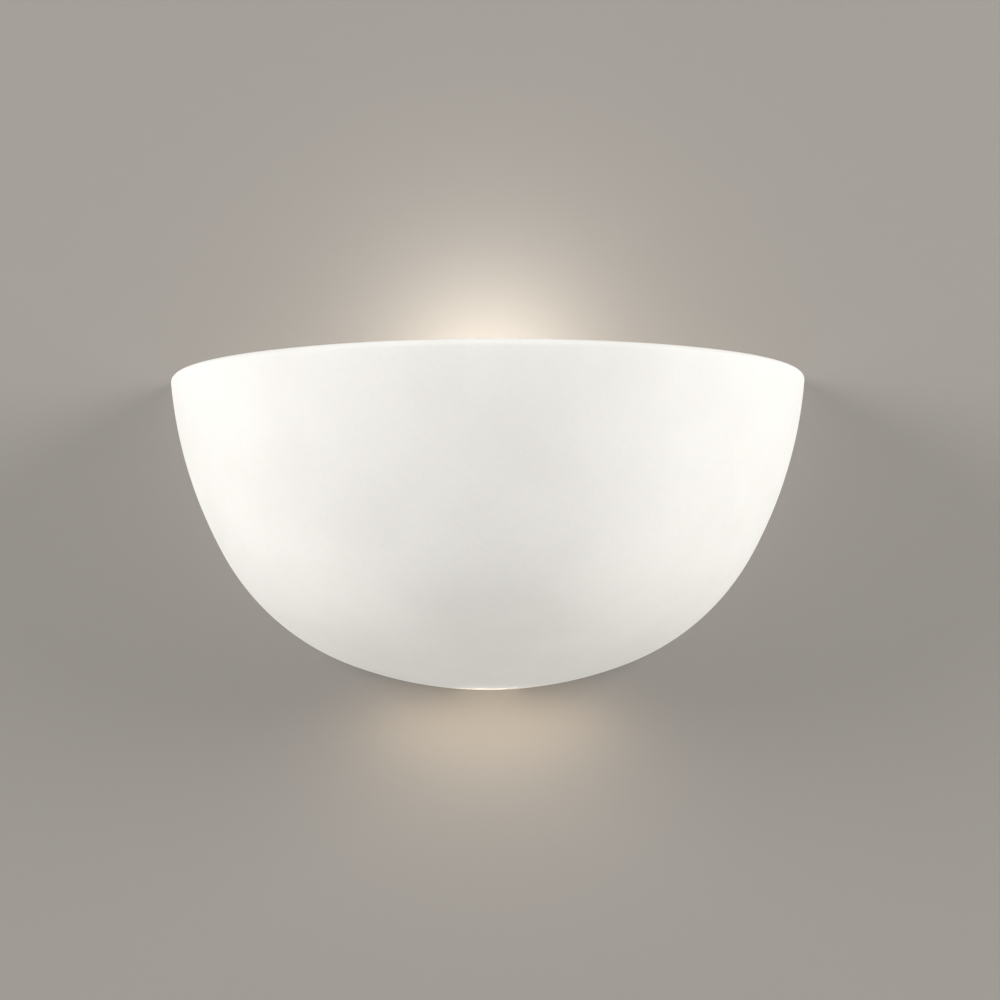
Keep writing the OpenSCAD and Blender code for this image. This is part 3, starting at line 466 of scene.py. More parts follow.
# %% The glowing globe
opal = finish("opal", (0.42, 0.41, 0.39), (0.40, 0.39, 0.37), patches=60, speckle=0.1, rough=(0.3, 0.42),
              coarse=500, fine=2500, relief=0.01, wear=0.1, wear_radius=0.3, emission_strength=0.72)
tree = opal.node_tree
height = add_node(tree, "ShaderNodeSeparateXYZ", {0: add_node(tree, "ShaderNodeTexCoord").outputs["Object"]})
lit = spread(tree, height.outputs["Z"], -4 * MM, 14 * MM)
glow = add_node(tree, "ShaderNodeMix", {
    "Factor": lit, "A": (0.90, 0.66, 0.42, 1), "B": (1.0, 0.90, 0.74, 1)}, data_type="RGBA")
tree.links.new(glow.outputs["Result"], tree.nodes["Principled BSDF"].inputs["Emission Color"])
print("glow added to", opal.name)

# %% [markdown]
# ## The bowl
#
# The real bowl is slip-cast: one even wall of clay that follows a smooth outline, rounded over at the lip
# and ground flat where it meets the wall. The outline is three arcs that run into each other. It could be
# modelled with the Screw tool and a Solidify modifier, but then the ground edge, the slot and the lip would
# need repair by hand. Here one closed section is carried through half a turn, and it ends exactly on the
# slot at the foot.

# %% The outline of the bowl
low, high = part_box("shade_bowl")
RIM_RADIUS, RIM_Z, HEIGHT = (high.x - low.x) / 2, high.z, high.z - low.z
WALL = 6.5 * MM
LEANS = np.radians([5.5, 29.0, 69.0, 90.0])     # lean of the wall at the ends of the three arcs
SHOULDER_R = 118 * MM
GROUND_EDGE = 0.9 * MM                          # rounding of the ground back edge and of the slot


def outward(lean):
    """Direction out of the bowl, as (radius, height), where its wall leans inward by the given angle."""
    return np.stack([np.cos(lean), -np.sin(lean)], -1)


lip_r = WALL / 2
lip_drop = lip_r * (1 + np.sin(LEANS[0]))
rim_start = np.array([RIM_RADIUS - lip_r * (1 - np.cos(LEANS[0])), -lip_drop])
run = np.diff(outward(LEANS), axis=0)           # how far each arc of radius 1 runs, as (radius, height)
to_base = np.array([0, -HEIGHT]) - rim_start - SHOULDER_R * run[1]
SIDE_R, BASE_R = np.linalg.solve(np.stack([run[0], run[2]], -1), to_base)
side_centre = rim_start - SIDE_R * outward(LEANS[0])
shoulder_centre = side_centre + (SIDE_R - SHOULDER_R) * outward(LEANS[1])
base_centre = np.array([0, BASE_R - HEIGHT])
print("side radius %.1f mm, base radius %.1f mm" % (SIDE_R / MM, BASE_R / MM))


def wall_at(lean, inset):
    """Points of the outline where the wall leans by the given angles, set in from the outer face: the centre
    of the arc that the lean belongs to, plus its radius less the inset, along the outward direction."""
    part = np.searchsorted(LEANS[1:3], lean)
    centre = np.stack([side_centre, shoulder_centre, base_centre])[part]
    radius = np.array([SIDE_R, SHOULDER_R, BASE_R])[part] - inset
    return centre + radius[..., None] * outward(lean) + (0, RIM_Z)


# %% [markdown]
# The section is one closed loop of points: up the outside, over the lip, down the inside, and across the
# slot's little wall. Two things bend it as it turns. Near the wall plane every point is kept at one distance
# from the wall, so that the ground edge stays flat, and in the last few columns the skin draws in by a
# quarter circle, which rounds the edge. At the foot the loop stops on the slot, whose outline is a rectangle
# with round corners in polar form.

# %% One section of the bowl
SLOT_HALF, SLOT_DEPTH, SLOT_CORNER = 14 * MM, 6 * MM, 3 * MM


def slot_reach(angle):
    """Distance from the axis to the slot's outline in each direction: the nearer of its side and its front,
    or, past the corner's centre, where the ray leaves the corner circle."""
    across, out = np.abs(np.cos(angle)), np.abs(np.sin(angle))
    reach = np.minimum(SLOT_HALF / np.maximum(across, 1e-9), SLOT_DEPTH / np.maximum(out, 1e-9))
    cx, cy = SLOT_HALF - SLOT_CORNER, SLOT_DEPTH - SLOT_CORNER
    along = across * cx + out * cy
    corner = along + np.sqrt(np.maximum(along ** 2 - cx ** 2 - cy ** 2 + SLOT_CORNER ** 2, 0))
    return np.where((reach * across > cx) & (reach * out > cy), corner, reach)


def bowl_section(reach, inset):
    """One section for every column: reach is where it stops at the slot, inset is how far its skin is drawn
    in. Returns (radius, height) points, rows by columns."""
    side = np.linspace(LEANS[0], LEANS[2], 44)[:, None] + 0 * reach
    t = np.linspace(0, 1, 18)[1:, None]

    def face(depth, stop):
        last = np.arccos(np.clip(stop / (BASE_R - depth), 0, 1))
        lean = np.concatenate([side, LEANS[2] + (last - LEANS[2]) * t])
        return wall_at(lean, depth)

    stop = reach + inset + GROUND_EDGE
    outer, inner = face(inset, stop), face(WALL - inset, stop)
    turn = np.linspace(0, np.pi, 16)[1:-1, None]
    lip_centre = rim_start - lip_r * outward(LEANS[0]) + (0, RIM_Z)
    lip = lip_centre + (lip_r - inset)[None, :, None] * outward(LEANS[0] - turn + 0 * reach)
    t = np.linspace(0, 1, 5)[1:, None, None]

    def into_slot(end, up):
        corner = np.stack([reach + inset, end[..., 1]], -1)
        after = corner + np.stack([0 * reach, up * GROUND_EDGE + 0 * reach], -1)
        return (1 - t) ** 2 * end + 2 * t * (1 - t) * corner + t ** 2 * after

    return np.concatenate([into_slot(outer[-1], 1)[::-1], outer[::-1], lip, inner, into_slot(inner[-1], -1)])


print("the slot's corner is %.1f mm from the axis" % (slot_reach(np.arctan2(SLOT_DEPTH, SLOT_HALF)) / MM))

# %% [markdown]
# The back edge of a cast half bowl is ground flat on a plate, and its corners are sponged. So the sweep has
# a few more columns at both ends. They stay at set distances from the wall, and their skin draws in by a
# quarter circle. The slow waves are those of a wall that was finished by hand.

# %% Carry the section through half a turn
quarter = np.linspace(0, np.pi / 2, 6)[:-1]     # columns that round the ground edge, from the wall plane on
edge_y, edge_inset = GROUND_EDGE * (1 - np.cos(quarter)), GROUND_EDGE * (1 - np.sin(quarter))
sweep = np.linspace(0, np.pi, 181)
out_by = np.concatenate([edge_y, GROUND_EDGE + 0 * sweep, edge_y[::-1]])
inset = np.concatenate([edge_inset, 0 * sweep, edge_inset[::-1]])
turn_by = np.concatenate([0 * edge_y, sweep, np.pi + 0 * edge_y])
reach = np.full(len(out_by), SLOT_HALF)
for _ in range(6):                              # reach depends on the direction, and that on the reach
    y = out_by + (reach - out_by) * np.sin(turn_by)
    reach = slot_reach(np.arctan2(y, np.sqrt(np.maximum(reach ** 2 - y ** 2, 0))))
loop = bowl_section(reach, inset)
radius, height = loop[..., 0], loop[..., 1]
y = out_by + (radius - out_by) * np.sin(turn_by)
x = np.sqrt(np.maximum(radius ** 2 - y ** 2, 0)) * np.where(turn_by < np.pi / 2, 1, -1)
rows, columns = radius.shape

WAVE = 0.12 * MM                                # slip-cast walls wave a little, but not at the ground edge
fade = np.sin(turn_by) ** 0.5
wave = WAVE * fade * (np.sin(3 * turn_by + 9 * height / HEIGHT)
                      + 0.6 * np.sin(7 * turn_by - 14 * height / HEIGHT))
away = np.array([np.cos(turn_by), -np.sin(turn_by)])
bowl_points = np.stack([x + wave * away[0], -y + wave * away[1], height], -1)
half = rows // 2
strip = np.arange(half)
caps = [np.stack([strip[:-1] * columns + c, strip[1:] * columns + c,
                  (rows - 1 - strip[1:]) * columns + c, (rows - 1 - strip[:-1]) * columns + c], -1)
        for c in (0, columns - 1)]
bowl_faces = np.concatenate([grid_faces(rows, columns, True, False), *caps])
print(rows, "rows by", columns, "columns, slot reach", np.round([reach.min() / MM, reach.max() / MM], 1))

# %% [markdown]
# The two lugs grow out of the inside of the wall, and the thumbscrews clamp them against the bar. A lug is
# made as it is drawn: a rectangle with round corners is carried along its arm, from the nose to the wall.
# Where it meets the wall, a hollow of 5 mm runs round it, as in a plaster mould. A sharp corner there would
# crack in drying.

# %% Lugs
LUG_X, LUG_NOSE, LUG_BORE = 120 * MM, 13 * MM, 3.5 * MM
LUG_BACK, LUG_FRONT, LUG_EDGE, LUG_HOLLOW = 6.5 * MM, 18.5 * MM, 1.3 * MM, 5 * MM
inner_radius, inner_z = wall_at(np.linspace(LEANS[2], LEANS[0], 60), WALL).T


def lug_arm(z, depth):
    """Length of the arm from its hole to the bowl's inner face, at a height and a depth out from the wall."""
    return np.sqrt(np.interp(z, inner_z, inner_radius) ** 2 - depth ** 2) - LUG_X


def lug(side):
    """Sections along the arm. Their half height is sqrt(r^2 - u^2) round the nose and r along the arm, and
    where the wall is d < h away, it and the front face grow by h - sqrt(h^2 - (h - d)^2)."""
    bend = np.linspace(0, np.pi / 2, 6)
    inset, drop = LUG_EDGE * (1 - np.sin(bend)), LUG_EDGE * (1 - np.cos(bend))
    across = np.linspace(1, -1, 17)[1:-1]
    flat = np.full(len(across), LUG_EDGE)
    radius = LUG_NOSE - np.concatenate([inset, inset[::-1], flat, inset, inset[::-1], flat])
    height = np.concatenate([np.ones(2 * len(bend)), across, -np.ones(2 * len(bend)), -across])
    depth = np.concatenate([LUG_BACK + drop, LUG_FRONT - drop[::-1], flat - LUG_EDGE + LUG_FRONT,
                            LUG_FRONT - drop, LUG_BACK + drop[::-1], flat - LUG_EDGE + LUG_BACK])
    arm = lug_arm(0.0, LUG_FRONT)
    round_nose = -LUG_NOSE * np.cos(np.linspace(0, np.pi / 2, 24))
    hollow = arm - LUG_HOLLOW * (1 - np.sin(np.linspace(0, np.pi / 2, 12)))
    u = np.concatenate([round_nose, np.linspace(0, hollow[0], 10)[1:-1], hollow, [arm + WALL / 2]])[:, None]
    rise = LUG_HOLLOW - np.sqrt(LUG_HOLLOW ** 2 - (LUG_HOLLOW - np.clip(arm - u, 0, LUG_HOLLOW)) ** 2)
    half = np.where(u < 0, np.sqrt(np.maximum(radius ** 2 - u ** 2, 0)), radius + rise)
    z = height * half
    y = depth + rise * (depth - LUG_BACK) / (LUG_FRONT - LUG_BACK)
    u = np.maximum(u, -radius)
    x = LUG_X + u + np.clip(u / arm, 0, 1) ** 2 * (lug_arm(z, y) - arm)
    points = np.stack([side * x, -y, z], -1)
    centre = np.repeat(points[-1].mean(0)[None, None], points.shape[1], 1)
    points = np.concatenate([points, centre])
    return points.reshape(-1, 3), grid_faces(*points.shape[:2], False, True)


past, splay = 1 * MM, 0.9 * MM                  # the hole's edges are sponged off while the clay is wet
bore = soften([(0, LUG_BACK - past), (LUG_BORE + past + splay, LUG_BACK - past),
               (LUG_BORE, LUG_BACK + splay), (LUG_BORE, LUG_FRONT - splay),
               (LUG_BORE + past + splay, LUG_FRONT + past), (0, LUG_FRONT + past)], 0.7 * MM)
print("lug arm %.1f mm long" % (lug_arm(0.0, LUG_FRONT) / MM))

# %% [markdown]
# The bowl and its two lugs are three meshes that run into each other, because each is a clean grid by
# itself. A lug ends half a wall deep inside the clay, so no gap can show between them. Then its hole is cut.

# %% Make the bowl
make_piece("bowl_body", [(bowl_points, bowl_faces)], bisque, "shade", "shade_bowl")
for side, name in ((-1, "bowl_lug_left"), (1, "bowl_lug_right")):
    piece = make_piece(name, [lug(side)], bisque, "shade", "shade_bowl")
    cut_out(piece, outwards(lathe(bore, 48), side * LUG_X))

# %% [markdown]
# ## Turned and rolled pieces
#
# Lathe work is a profile carried round an axis, and that is also how these surfaces are made. A knurl or a
# thread is the same surface with a radius that changes with the angle: a knurl repeats a number of times
# round the turn, and a thread moves along the axis by one pitch for every turn. As real relief it catches
# light on its flanks, which a bump map can't do at the silhouette. The screwdriver slot is cut afterwards
# with a Boolean modifier, because a slot follows no circle.

# %% Thread and knurl
def threaded(outline, pitch, depth, start, stop, around):
    """A profile of (radius, height) carried round the axis, less depth x s on the stretch from start to
    stop, where s = (1 + cos(2 pi height / pitch - a)) / 2 runs along a screw line. The groove fades over a
    pitch at each end."""
    radius, height = np.asarray(outline, float).T[..., None]
    a = np.arange(around) * 2 * np.pi / around
    screw = (1 + np.cos(2 * np.pi * height / pitch - a)) / 2
    fade = np.clip((height - start) / pitch, 0, 1) * np.clip((stop - height) / pitch, 0, 1)
    radius = radius - depth * screw * fade
    height = height + 0 * a
    points = np.stack([radius * np.cos(a), radius * np.sin(a), height], -1)
    return points.reshape(-1, 3), grid_faces(len(height), around, False, True)


def knurled(outline, ribs, depth, start, stop, points_per_rib=8):
    """A profile carried round the axis, less depth x |sin(ribs a / 2)| between start and stop: sharp crests
    and round valleys, as a knurling wheel leaves them. The ribs run out over half a millimetre."""
    run_out = 0.5 * MM
    radius, height = np.asarray(outline, float).T[..., None]
    a = np.arange(ribs * points_per_rib) * 2 * np.pi / (ribs * points_per_rib)
    fade = np.clip((height - start) / run_out, 0, 1) * np.clip((stop - height) / run_out, 0, 1)
    radius = radius - depth * np.abs(np.sin(ribs * a / 2)) * fade
    height = height + 0 * a
    points = np.stack([radius * np.cos(a), radius * np.sin(a), height], -1)
    return points.reshape(-1, 3), grid_faces(len(height), len(a), False, True)


def fine_steps(outline, step):
    """The same outline with points added, so that no side of it is longer than one step."""
    p = np.asarray(outline, float)
    length = np.concatenate([[0], np.cumsum(np.linalg.norm(np.diff(p, axis=0), axis=1))])
    at = np.unique(np.concatenate([length, np.arange(0, length[-1], step)]))
    return np.stack([np.interp(at, length, p[:, 0]), np.interp(at, length, p[:, 1])], -1)


def block_grid(low, high):
    """A closed box between two corners, as eight points and six faces that look outwards."""
    x, y, z = zip(low, high)
    points = [(x[i], y[j], z[k]) for k in (0, 1) for j in (0, 1) for i in (0, 1)]
    return points, [(0, 2, 3, 1), (4, 5, 7, 6), (0, 1, 5, 4), (2, 6, 7, 3), (0, 4, 6, 2), (1, 3, 7, 5)]


M4, M3 = (2 * MM, 0.7 * MM), (1.5 * MM, 0.5 * MM)       # radius and pitch of the two threads
SCREW_TIP = 1.5 * MM                            # all screws end this far short of the wall
print("an M4 screw turns %.1f times in 10 mm" % (10 * MM / M4[1]))

# %% [markdown]
# A thumbscrew is turned from brass bar: a threaded shank, a collar that presses on the washer, and a knurled
# head with a slot for a coin. The knurl is what makes it a thumbscrew, so its thirty ribs are real.

# %% Thumbscrews
def thumbscrew(side, name):
    """Shank, collar and knurled head, each a turned profile. Heights are depths out from the wall."""
    tip, thread_end, collar, head, top = SCREW_TIP, 15.5 * MM, 20 * MM, 23 * MM, 33 * MM
    shank = fine_steps([(0, tip), (1.45 * MM, tip), (M4[0], tip + 0.6 * MM), (M4[0], thread_end),
                        (1.9 * MM, collar + 0.5 * MM), (0, collar + 0.5 * MM)], M4[1] / 10)
    neck = soften([(0, collar), (5 * MM, collar), (5 * MM, head + 0.2 * MM), (0, head + 0.2 * MM)], 0.35 * MM)
    crown = soften([(0, head), (6 * MM, head), (7 * MM, head + 1 * MM), (7 * MM, top - 1 * MM),
                    (6.1 * MM, top - 0.1 * MM), (4.4 * MM, top), (0, top - 0.05 * MM)], 0.25 * MM)
    crown = fine_steps(crown, 0.5 * MM)
    parts = [threaded(shank, M4[1], 0.4 * MM, tip, thread_end, 28), lathe(neck, 64),
             knurled(crown, 30, 0.5 * MM, head + 0.5 * MM, top - 0.5 * MM)]
    x = side * LUG_X
    screw = make_piece(name, [outwards(part, x) for part in parts], plated_brass, name, name,
                       merge=1e-6)
    slot_half, slot_depth, beyond = 0.6 * MM, 2 * MM, 8 * MM
    cut_out(screw, block_grid((x - beyond, -top - MM, -slot_half), (x + beyond, slot_depth - top, slot_half)))


thumbscrew(-1, "thumbscrew_left")
thumbscrew(1, "thumbscrew_right")

# %% [markdown]
# The earth screw and the screw of the terminal block are ordinary slotted pan heads, M4 and M3. Both come
# through the bar, so their threads show when the fitting is looked at from behind.

# %% Slotted screws
def pan_screw(name, x, under_head, thread, head, slot_width, material):
    """A threaded shank from its tip up to the head, and a head whose top edge is rounded over more than half
    of its height. Thread is (radius, pitch), head is (radius, height), all in metres."""
    tip, joined = SCREW_TIP, under_head + 0.3 * MM
    radius, pitch = thread
    head_r, top = head[0], under_head + head[1]
    shank = fine_steps([(0, tip), (radius - 0.5 * MM, tip), (radius, tip + 0.5 * MM),
                        (radius, joined), (0, joined)], pitch / 10)
    crown = soften([(0, under_head), (head_r, under_head), (head_r, top), (0, top)],
                   np.array([0, 0.1, 0.6, 0]) * head[1], 6)
    screw = make_piece(name, [outwards(threaded(shank, pitch, 0.57 * pitch, tip, under_head, 28), x),
                              outwards(lathe(crown, 56), x)], material, "fitting", name, merge=1e-6)
    cut_out(screw, block_grid((x - head_r - MM, -top - MM, -slot_width / 2),
                              (x + head_r + MM, -top + head[1] / 2, slot_width / 2)))


pan_screw("earth_screw", 75 * MM, 8.3 * MM, M4, (3.75 * MM, 2.4 * MM), 1 * MM, brass)
pan_screw("block_fixing_screw", -80 * MM, 15.5 * MM, M3, (2.75 * MM, 1.8 * MM), 0.8 * MM, zinc_steel)

# %% [markdown]
# Under each thumbscrew sits a washer of red fibre, punched from sheet, so one edge is a little rounder than
# the other. The grommet is soft rubber: everything on it is round, and its groove grips the steel of the
# bar.

# %% Washers and grommet
def ring_profile(inner, outer, back, front, radius):
    """Half the section of a flat ring, with one rounding for each corner."""
    corners = [(inner, back), (outer, back), (outer, front), (inner, front)]
    return soften(np.array(corners) * MM, np.array(radius) * MM, closed=True)


washer = ring_profile(2.3, 8, 18.5, 20, [0.1, 0.15, 0.45, 0.2])
make_piece("fibre_washers",
           [outwards(lathe(fine_steps(washer, 0.6 * MM), 72, True), s * LUG_X) for s in (-1, 1)],
           fibre, "shade", "fibre_washers")
grommet = soften(
    np.array([(4.5, 3.4), (9.5, 3.4), (9.5, 5), (7, 5), (7, 6.5), (9.5, 6.5), (9.5, 8.1), (4.5, 8.1)]) * MM,
    np.array([0.8, 0.75, 0.3, 0.1, 0.1, 0.3, 0.75, 0.8]) * MM, 4, closed=True)
make_piece("cable_grommet", [outwards(lathe(grommet, 80, True))], rubber, "fitting",
           "cable_grommet")

# %% [markdown]
# Beside the earth screw the bar carries the general earth sign, pressed up out of the sheet: a ring, a stem
# and three bars that get shorter downwards. Each line is a low ridge with a round top. A real press leaves
# it a little soft, so the ridge is only 0.15 mm high, which is enough to catch the light.

# %% Earth sign
SIGN_X, BAR_FRONT, SIGN_R = 92 * MM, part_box("wall_bar")[0].y, 4.2 * MM
RIDGE_HALF, RIDGE_HIGH, SUNK = 0.35 * MM, 0.15 * MM, 0.1 * MM
ARCH = np.linspace(0, np.pi, 9)


def ridge(start, end):
    """A low ridge between two points of the bar's face: over = -cos(t), height = sin(t), t from 0 to pi."""
    along = (end - start) / np.linalg.norm(end - start)
    side = np.array([-along[1], along[0]])
    over = np.concatenate([-RIDGE_HALF * np.cos(ARCH), [0.0]])
    up = np.concatenate([RIDGE_HIGH * np.sin(ARCH), [-SUNK]])
    rows = [np.stack([*(point[:, None] + side[:, None] * over), up], -1) for point in (start, end)]
    caps = [np.repeat(np.array([[*point, 0.0]]), len(over), 0) for point in (start, end)]
    grid = np.stack([caps[0], *rows, caps[1]])
    return grid.reshape(-1, 3), grid_faces(len(grid), len(over), False, True)


def on_bar(part):
    """From (x, z, height above the sheet) to the front face of the bar."""
    points, faces = part
    return np.stack([points[:, 0] + SIGN_X, BAR_FRONT - points[:, 2], points[:, 1]], -1), faces


band = np.stack([np.concatenate([SIGN_R - RIDGE_HALF * np.cos(ARCH), [SIGN_R]]),
                 np.concatenate([RIDGE_HIGH * np.sin(ARCH), [-SUNK]])], -1)
strokes = [((0, 2.9), (0, 0)), ((-2.4, 0), (2.4, 0)), ((-1.6, -1.2), (1.6, -1.2)),
           ((-0.8, -2.4), (0.8, -2.4))]
sign = [on_bar(ridge(*np.array(stroke) * MM)) for stroke in strokes] + [on_bar(lathe(band, 64, True))]
make_piece("earth_sign", sign, zinc_steel, "fitting", merge=1e-8)

# %% [markdown]
# ## The lamp
#
# The lamp is an opal globe on a white housing, with a rolled screw cap, a black insulator and a soldered
# contact. All its heights are counted from the tip of the contact, which is how lamp makers draw them.

# %% Globe and housing
AXIS_Y = -47 * MM                               # the lamp's axis stands this far out from the wall
CONTACT_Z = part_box("lamp_centre_contact")[0].z
GLOBE_R, GLOBE_Z, JOINT_Z = 30 * MM, 76 * MM, 63 * MM
SHELL, SEAM = 1.2 * MM, 0.25 * MM               # wall of the globe, and the seam between globe and housing
joint_r = math.sqrt(GLOBE_R ** 2 - (GLOBE_Z - JOINT_Z) ** 2)


def on_lamp(part):
    """From heights above the contact's tip to the lamp's place in the frame."""
    return moved(part, 0, AXIS_Y, CONTACT_Z)


def sphere_profile(radius):
    """From just above the joint up to the pole: radius cos(t), centre + radius sin(t)."""
    t = np.linspace(-math.asin((GLOBE_Z - JOINT_Z - SEAM) / radius), np.pi / 2, 60)
    return np.stack([radius * np.cos(t), GLOBE_Z + radius * np.sin(t)], -1)


outer, inner = sphere_profile(GLOBE_R), sphere_profile(GLOBE_R - SHELL)
outer[-1, 0] = inner[-1, 0] = 0                 # the poles lie on the axis
globe = make_piece("lamp_globe", [on_lamp(lathe(np.concatenate([outer[::-1], inner]), 112))], opal,
                   "lamp", "lamp_globe")
s = np.linspace(0, 1, 40)
foot_r, cap_top = 13.6 * MM, 27 * MM
flare = np.stack([foot_r + (joint_r - foot_r) * (0.35 * (1 - np.cos(s * np.pi / 2)) + 0.65 * s),
                  cap_top + (JOINT_Z - cap_top) * s], -1)
rim = [(joint_r, JOINT_Z - 0.45 * MM), (joint_r - 0.5 * MM, JOINT_Z - 0.1 * MM),
       (joint_r - 0.9 * MM, JOINT_Z)]
foot = np.array([(0, 10), (11.2, 10), (11.6, 10.4), (11.6, 26.8), (13.2, 27)]) * MM
housing = np.concatenate([foot, flare[1:-1], rim, [(0, JOINT_Z)]])
make_piece("lamp_housing", [on_lamp(lathe(housing, 112))], lamp_white, "lamp", "lamp_housing")

# %% [markdown]
# The cap's thread is rolled into thin sheet, so its crests and its roots are both round and the inside
# follows the outside. Its pitch is 3.6 mm. The same function makes the shell in the lampholder that it
# screws into.

# %% Screw cap, insulator and contact
THREAD_PITCH, CAP_GROOVE, AROUND = 3.6 * MM, 0.85 * MM, 96
cap_out = fine_steps(
    np.array([(11.2, 5.2), (12.2, 6.5), (12.9, 7.6), (13.1, 8.4), (13.1, 26.7), (12.95, 27)]) * MM, 0.3 * MM)
cap_in = cap_out[::-1] - (0.4 * MM, 0)
cap_line = np.concatenate([cap_out, cap_in])
cap_points = threaded(cap_line, THREAD_PITCH, CAP_GROOVE, 6.5 * MM, 24.5 * MM, AROUND)[0]
cap = cap_points, grid_faces(len(cap_line), AROUND, True, True)
make_piece("lamp_screw_cap", [on_lamp(cap)], nickel_cap, "lamp", "lamp_screw_cap")
insulator = soften(
    np.array([(0, 1.4), (5.6, 1.4), (6.4, 2.1), (10.2, 4.3), (10.7, 5.2), (0, 5.2)]) * MM, 0.35 * MM)
make_piece("lamp_insulator", [on_lamp(lathe(insulator, 80))], black_glass, "lamp",
           "lamp_insulator")
contact = soften(
    np.array([(0, 0), (2.2, 0.06), (3.6, 0.35), (4.6, 0.8), (4.8, 1.4), (0, 1.4)]) * MM, 0.3 * MM)
make_piece("lamp_centre_contact", [on_lamp(lathe(contact, 56))], nickel_cap, "lamp",
           "lamp_centre_contact")

# %% [markdown]
# The shell in the lampholder is drawn from thin brass, and the same thread is pressed into it, shallower and
# outwards. Its outside is hidden in the porcelain, so it stays plain. A narrow flange at its foot rests on
# the porcelain.

# %% Screw shell of the lampholder
SEAT_Z, SHELL_GROOVE, SHELL_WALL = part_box("holder_porcelain")[0].z, 0.28 * MM, 0.33 * MM
shell_line = fine_steps(np.array([(13.25, 16.5), (13.25, 41.4), (13.35, 42)]) * MM, 0.35 * MM)
inside = threaded(shell_line, THREAD_PITCH, -SHELL_GROOVE, 17.5 * MM, 41 * MM, AROUND)[0]
outside = lathe(shell_line[::-1] + (SHELL_WALL, 0), AROUND)[0]
flange = lathe(
    np.array([(13.5, 16.02), (10.4, 16.02), (10.3, 16.2), (10.4, 16.42), (13.0, 16.45)]) * MM, AROUND)[0]
shell = np.concatenate([inside, outside, flange])
make_piece("holder_screw_shell", [moved((shell, grid_faces(len(shell) // AROUND, AROUND, True, True)),
                                        0, AXIS_Y, SEAT_Z)], brass, "fitting", "holder_screw_shell")

# %% [markdown]
# ## Leads
#
# Two silicone-sleeved leads run from the terminal block to the lampholder. Their routes are lists of points
# that a smooth curve is drawn through, and a circle is carried along that curve. The frame of the circle is
# turned with the path by projecting one fixed direction square to it, which keeps the sleeve from twisting.

# %% Carry a circle along a path
LEAD_RADIUS = 1.3 * MM


def smooth_path(points, per_span=6):
    """A curve through all the points. Between two of them it is the cubic that leaves and arrives along the
    line that joins each point's two neighbours."""
    p = np.asarray(points, float)
    p = np.concatenate([[2 * p[0] - p[1]], p, [2 * p[-1] - p[-2]]])
    t = np.linspace(0, 1, per_span, endpoint=False)[None, :, None]
    a, b, c, d = (p[i:len(p) - 3 + i, None] for i in range(4))
    curve = 0.5 * (2 * b + (c - a) * t + (2 * a - 5 * b + 4 * c - d) * t ** 2
                   + (3 * b - a - 3 * c + d) * t ** 3)
    return np.concatenate([curve.reshape(-1, 3), p[-2:-1]])


def sleeve(path, radius, around=20, hint=(1.0, 1.0, 0.0)):
    """A circle of the given radius carried along a path, with both ends closed to a point on the path."""
    along = np.gradient(path, axis=0)
    along /= np.linalg.norm(along, axis=1, keepdims=True)
    side = np.cross(along, hint)
    side /= np.linalg.norm(side, axis=1, keepdims=True)
    up = np.cross(along, side)
    a = (np.arange(around) * 2 * np.pi / around)[None, :, None]
    ring = path[:, None] + radius * (np.cos(a) * side[:, None] + np.sin(a) * up[:, None])
    ends = [np.repeat(path[i][None, None], around, 1) for i in (0, -1)]
    grid = np.concatenate([ends[0], ring, ends[1]])
    return grid.reshape(-1, 3), grid_faces(len(grid), around, False, True)


print("a lead is %.1f mm thick" % (2 * LEAD_RADIUS / MM))

# %% [markdown]
# The brown lead is the live one and ends on the right terminal of the lampholder, the blue one on the left.
# Both dip from the terminal block, cross to the carrier, pass under the clip and bend forward into the
# terminals. The last part is the same for both, mirrored.

# %% The two leads
seat_end = [(4.5, -9.6, -62.5), (5, -11.3, -67), (6.4, -15.5, -71), (7.6, -21, -73.5), (8, -27, -74),
            (8, -33.2, -74)]
live = [(-75, -13, -8.5), (-75, -13, -15), (-73.5, -12.6, -22), (-68, -11.8, -28.5), (-60, -11, -33),
        (-51, -10.4, -36), (-41, -10, -38), (-31, -9.8, -39.5), (-22, -9.6, -40.5), (-13, -9.6, -41.3),
        (-5, -9.6, -42.5), (1, -9.6, -45.2), (4, -9.6, -49.3), (4.5, -9.6, -54.5)] + seat_end
neutral = [(-85, -13, -8.5), (-85, -13, -16), (-83.5, -12.6, -24), (-78.5, -11.8, -31.5), (-70.5, -11, -37),
           (-61, -10.4, -41), (-51, -10, -43.5), (-41, -9.8, -45), (-31, -9.6, -46), (-22, -9.6, -46.4),
           (-15, -9.6, -46.9), (-9, -9.6, -48.4), (-5.6, -9.6, -51), (-4.5, -9.6, -55.5)]
neutral += [(-x, y, z) for x, y, z in seat_end]
for name, route, material, slot in (("lead_live", live, brown_sleeve, "lead_brown"),
                                    ("lead_neutral", neutral, blue_sleeve, "lead_blue")):
    path = smooth_path(np.array(route) * MM)
    make_piece(name, [sleeve(path, LEAD_RADIUS)], material, "fitting", name, merge=1e-7)
    print("  length %.0f mm" % (np.linalg.norm(np.diff(path, axis=0), axis=1).sum() / MM))

# %% [markdown]
# ## Pieces that keep their CAD solid
#
# Pressed steel and moulded parts are already right as solids: what they lack is the small rounding that
# every real edge has. Their meshes are left alone. A Weld modifier joins the loose triangles, a planar
# Decimate makes each flat face one face again, a Bevel rounds the edges that are sharper than thirty
# degrees, and Weighted Normal keeps the light even on a flat that lies beside such a rounding.

